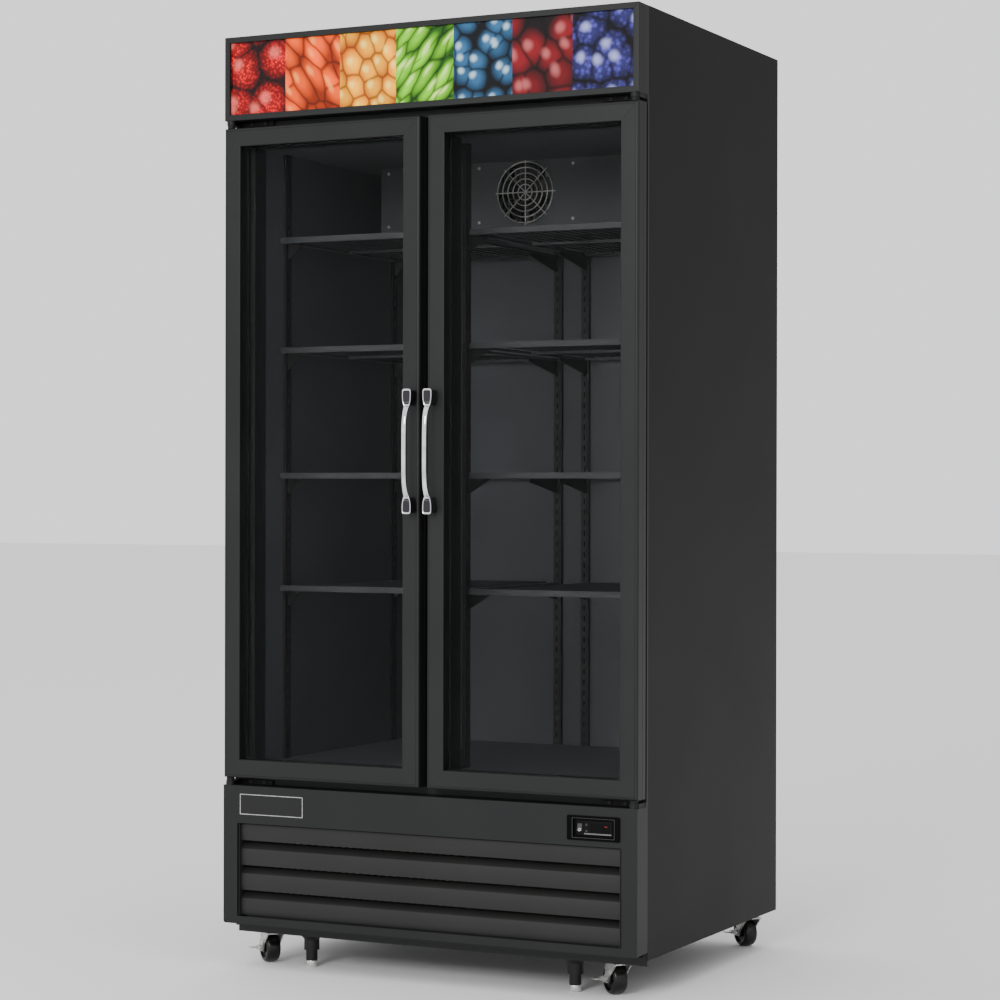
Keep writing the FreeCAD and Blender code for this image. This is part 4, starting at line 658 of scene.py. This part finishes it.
def shield(shape, front, rear, shrink=1.0):
    """Shield-shaped plate between two depths."""
    ring = [shape.verts.new((x * shrink, front, z * shrink - 0.5 * (1 - shrink) * shield_length))
            for x, z in shield_outline]
    face = shape.faces.new(ring)
    grown = bmesh.ops.extrude_face_region(shape, geom=[face])["geom"]
    back = [piece for piece in grown if isinstance(piece, bmesh.types.BMVert)]
    bmesh.ops.translate(shape, vec=(0, rear - front, 0), verts=back)
    return face


# The grip from its lower to its upper end: it stands 39 mm off the door in the middle, comes back
# and leans over at its ends, and is wider and thinner there.
grip_steps, grip_end, end_stand, bow, crown = 32, grip_half_length - 0.034, 0.0268, 0.0117, 0.0008
grip = []
for step in range(grip_steps + 1):
    along = 2 * step / grip_steps - 1
    stand = end_stand + bow * (1 - along ** 6) + crown * (1 - along ** 2)
    lean = 0.6 * along ** 7 + 0.12 * along
    half_width, half_thick = 0.0056 + 0.0006 * along ** 6, 0.0034 + 0.0021 * (1 - along ** 4)
    grip.append((-stand, along * grip_end, lean, half_width, half_thick))
# The root at each end of the grip runs back from it, behind the shield, to the door.
root = [(-0.0318, -0.0300, 0.35, 0.0050, 0.0036), (-0.0285, -0.0275, 0.75, 0.0056, 0.0042),
        (-0.0225, -0.0255, 1.10, 0.0062, 0.0046), (-0.0140, -0.0245, 1.40, 0.0066, 0.0048),
        (-0.0050, -0.0242, 1.57, 0.0070, 0.0050), (0.0, -0.0242, 1.57, 0.0072, 0.0052)]

for side in ("left", "right"):
    body = side + "_door"
    low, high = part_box(body + "_handle")
    centre = ((low.x + high.x) / 2, high.y, (low.z + high.z) / 2)

    metal = bmesh.new()
    swept(metal, grip)
    for end in (1, -1):
        arm = bmesh.new()
        plate = shield(arm, -shield_face, -shield_face + shield_depth)
        bevel(arm, plate.edges, 0.0009)
        front = min(arm.faces, key=lambda face: face.calc_center_median().y)
        bmesh.ops.inset_region(arm, faces=[front], thickness=shield_rim, depth=0)
        bmesh.ops.translate(arm, vec=(0, shield_dish, 0), verts=front.verts)
        swept(arm, root)
        bmesh.ops.translate(arm, vec=(0, 0, grip_half_length), verts=arm.verts)
        if end < 0:
            bmesh.ops.scale(arm, vec=(1, 1, -1), verts=arm.verts)
            bmesh.ops.reverse_faces(arm, faces=arm.faces)
        part = bpy.data.meshes.new("handle_end")
        arm.to_mesh(part)
        arm.free()
        metal.from_mesh(part)
        bpy.data.meshes.remove(part)
    bmesh.ops.translate(metal, vec=centre, verts=metal.verts)
    settle(metal, body + "_pull", chrome, body, "chrome", body + "_handle", sharp=45)

    for name, finish_layer, front, rear, shrink in (
            ("_pull_insets", inset_plastic, -shield_face + 0.0006, -shield_face + 0.002, 0.80),
            ("_pull_bases", base_plastic, -shield_face + 0.0050, 0.0, 0.88)):
        shape = bmesh.new()
        shield(shape, front, rear, shrink)
        bmesh.ops.translate(shape, vec=(0, 0, grip_half_length), verts=shape.verts)
        bmesh.ops.mirror(shape, geom=shape.verts[:] + shape.edges[:] + shape.faces[:], axis="Z",
                         merge_dist=1e-6)
        bmesh.ops.translate(shape, vec=centre, verts=shape.verts)
        settle(shape, body + name, finish_layer, body, "chrome")


# ---------------------------------------------------------------- header
# A folded steel box with a mitred border carries a translucent acrylic sign. It is printed on the
# rear in bands of soft rounded fruit shapes, so its colours are glossy and a little lit.

# The header's coat matches the front's.
header_coat = grained("satin black header coat", "#181919", "#1c1d1d", 0.45, 0.003, 0.0001,
                      Specular_IOR_Level=0.25)
header_sheet, border_depth, border_lip = 0.0015, 0.010, 0.0067
header_low, header_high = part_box("header_housing")
housing = bmesh.new()
box_between(housing, (header_low.x, header_low.y + border_depth, header_low.z), header_high)
housing_front = min(housing.faces, key=lambda face: face.calc_center_median().y)
bmesh.ops.delete(housing, geom=[housing_front], context="FACES_ONLY")
bevel(housing, folds(housing, 80, 100), 0.0008)
settle(housing, "header_box", header_coat, "cabinet", "header_steel", "header_housing",
       wall=header_sheet)
border_section = [(0, 0.0012), (0.0004, 0.0004), (0.0012, 0), (0.0124, 0), (0.0130, 0.0006),
                  (0.0130, border_lip), (header_sheet, border_lip), (header_sheet, border_depth),
                  (0, border_depth)]
settle(mitred_bars(border_section, header_low.x, header_high.x, header_low.y, header_low.z,
                   header_high.z), "header_border", header_coat, "cabinet", "header_steel",
       "header_housing")


def printed_band(name, gap, flesh, light, cell, slender=1.0, lean=0.0, pips=0.0):
    """One band of the print: packed fruit of a real size in metres, lit from the upper left."""
    material, tree, shader, place = finish(name, flesh, 0.16, Emission_Strength=0.4,
                                           Specular_IOR_Level=0.25)
    # The print's plane is bent a little and turned, and stretched so that a fruit is one unit.
    bend, stretch = 0.4, (slender / cell, 1 / (slender * cell), 0)
    glint_offset = (0.16, 0.17, 0)
    wobble = add(tree, "TexNoise", {"Vector": place, "Scale": 0.7 / cell})
    sway = add(tree, "VectorMath", {0: wobble.outputs["Color"], "Scale": cell * bend},
               operation="SCALE")
    bent = add(tree, "VectorMath", {0: place, 1: sway.outputs["Vector"]}, operation="ADD")
    turned = add(tree, "Mapping", {"Vector": bent.outputs["Vector"],
                                   "Rotation": (math.pi / 2, 0, lean)})
    sized = add(tree, "VectorMath", {0: turned.outputs["Vector"], 1: stretch},
                operation="MULTIPLY")
    aside = add(tree, "VectorMath", {0: sized.outputs["Vector"], 1: glint_offset},
                operation="ADD")
    edges = add(tree, "TexVoronoi", {"Vector": sized.outputs["Vector"], "Scale": 1.0},
                voronoi_dimensions="2D", feature="DISTANCE_TO_EDGE")
    fruit = add(tree, "TexVoronoi", {"Vector": sized.outputs["Vector"], "Scale": 1.0},
                voronoi_dimensions="2D")
    glints = add(tree, "TexVoronoi", {"Vector": aside.outputs["Vector"], "Scale": 1.0},
                 voronoi_dimensions="2D")
    # Each fruit darkens from its middle to its gaps, differs from the next, and has a glint.
    ramp = add(tree, "ValToRGB", {"Fac": fruit.outputs["Distance"]})
    ramp.color_ramp.elements[0].position = 0.22
    ramp.color_ramp.elements[0].color = linear(flesh)
    ramp.color_ramp.elements[1].position = 0.72
    ramp.color_ramp.elements[1].color = linear(gap)
    contact = add(tree, "MapRange", {"Value": edges.outputs["Distance"], "From Min": 0.0,
                                     "From Max": 0.10, "To Min": 0.35, "To Max": 1.0})
    shade = add(tree, "MapRange", {"Value": fruit.outputs["Color"], "From Min": 0.2,
                                   "From Max": 0.8, "To Min": 0.75, "To Max": 1.25})
    if pips:
        seeds = add(tree, "TexVoronoi", {"Vector": place, "Scale": 1 / pips})
        shade = add(tree, "MapRange", {"Value": seeds.outputs["Distance"], "From Min": 0.15,
                                       "From Max": 0.6, "To Min": 1.5, "To Max": 0.4})
    depth = add(tree, "Math", {0: contact.outputs["Result"], 1: shade.outputs["Result"]},
                operation="MULTIPLY")
    body = add(tree, "VectorMath", {0: ramp.outputs["Color"], "Scale": depth.outputs["Value"]},
               operation="SCALE")
    glint = add(tree, "MapRange", {"Value": glints.outputs["Distance"], "From Min": 0.30,
                                   "From Max": 0.05, "To Min": 0.0, "To Max": 0.6},
                interpolation_type="SMOOTHSTEP")
    lit = add(tree, "Mix", {0: glint.outputs["Result"], 6: body.outputs["Vector"],
                            7: linear(light)}, data_type="RGBA")
    tree.links.new(lit.outputs[2], shader.inputs["Base Color"])
    tree.links.new(lit.outputs[2], shader.inputs["Emission Color"])
    return material


band_prints = [
    printed_band("print strawberry red", "#2a0204", "#c40c12", "#e86a60", 0.068, pips=0.0065),
    printed_band("print carrot orange", "#8a2600", "#fc5400", "#ffa050", 0.046, 1.5, 0.6),
    printed_band("print corn yellow", "#b85400", "#ffa800", "#ffe470", 0.040, 1.1, 0.3),
    printed_band("print bean green", "#1c4a08", "#70c010", "#dcf890", 0.042, 1.9, -0.7),
    printed_band("print blueberry blue", "#04080e", "#285478", "#c0dae8", 0.040),
    printed_band("print cherry red", "#0c0406", "#680c14", "#b86464", 0.058, 1.1, 0.4),
    printed_band("print bramble violet", "#060612", "#3e3c88", "#a8ace0", 0.055, pips=0.011),
]
band_edges = [-0.3473, -0.2094, -0.0709, 0.0683, 0.2076, 0.3469]
sign_low, sign_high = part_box("header_sign")
sign = bmesh.new()
box_between(sign, sign_low, sign_high)
for edge_x in band_edges:
    bmesh.ops.bisect_plane(sign, geom=sign.verts[:] + sign.edges[:] + sign.faces[:],
                           plane_co=(edge_x, 0, 0), plane_no=(1, 0, 0))
for face in sign.faces:
    face.material_index = sum(face.calc_center_median().x > edge_x for edge_x in band_edges)
settle(sign, "header_sign_print", band_prints, "cabinet", "sign", "header_sign")


# ---------------------------------------------------------------- camera and studio
# A pale floor, soft light from a white room that is dim on the far right, two large panels, and
# the camera where the photograph was taken from.
floor_shape = bmesh.new()
bmesh.ops.create_grid(floor_shape, x_segments=1, y_segments=1, size=40.0)
floor_mesh = bpy.data.meshes.new("studio_floor")
floor_shape.to_mesh(floor_mesh)
floor_shape.free()
floor = bpy.data.objects.new("studio_floor", floor_mesh)
bpy.context.scene.collection.objects.link(floor)
floor_mesh.materials.append(finish("pale studio floor", "#f4f4f4", 0.8)[0])

world = bpy.data.worlds.new("studio room")
bpy.context.scene.world = world
world.use_nodes = True
room = world.node_tree
dim_side, bright, dim = (0.8, 0.6, 0.0), 1.35, 0.45
facing = add(room, "VectorMath", {0: add(room, "TexCoord").outputs["Generated"], 1: dim_side},
             operation="DOT_PRODUCT")
dimming = add(room, "MapRange", {"Value": facing.outputs["Value"], "From Min": 0.42,
                                 "From Max": 0.85, "To Min": bright, "To Max": dim},
              interpolation_type="SMOOTHSTEP")
room.links.new(dimming.outputs["Result"], room.nodes["Background"].inputs["Strength"])
room.nodes["Background"].inputs["Color"].default_value = linear("#ffffff")


def light_panel(name, place, aim, size, power):
    """Soft panel aimed at a point of the cabinet."""
    lamp = bpy.data.lights.new(name, "AREA")
    lamp.shape = "RECTANGLE"
    lamp.size, lamp.size_y = size
    lamp.energy = power
    panel = bpy.data.objects.new(name, lamp)
    panel.location = place
    panel.rotation_euler = (Vector(aim) - Vector(place)).to_track_quat("-Z", "Y").to_euler()
    bpy.context.scene.collection.objects.link(panel)


light_panel("front_panel", (0.4, -7.0, 3.4), (0, 0, 1.1), (2.0, 2.0), 260)
light_panel("side_panel", (5.0, -1.0, 2.6), (0, 0, 1.0), (2.5, 3.0), 12)

yaw, pitch, roll = math.radians(26.43), math.radians(-0.12), math.radians(0.11)
forward = Vector((-math.sin(yaw) * math.cos(pitch), math.cos(yaw) * math.cos(pitch),
                  math.sin(pitch)))
level_right = Vector((math.cos(yaw), math.sin(yaw), 0))
level_up = level_right.cross(forward)
right = math.cos(roll) * level_right + math.sin(roll) * level_up
up = right.cross(forward)
camera_lens = bpy.data.cameras.new("camera")
camera_lens.sensor_width = 36.0
camera_lens.lens = 94.37
camera_lens.clip_end = 100.0
eye = Matrix.Translation((2.6389, -5.3224, 1.0481))
camera = bpy.data.objects.new("camera", camera_lens)
camera.matrix_world = eye @ Matrix((right, up, -forward)).transposed().to_4x4()
bpy.context.scene.collection.objects.link(camera)
bpy.context.scene.camera = camera
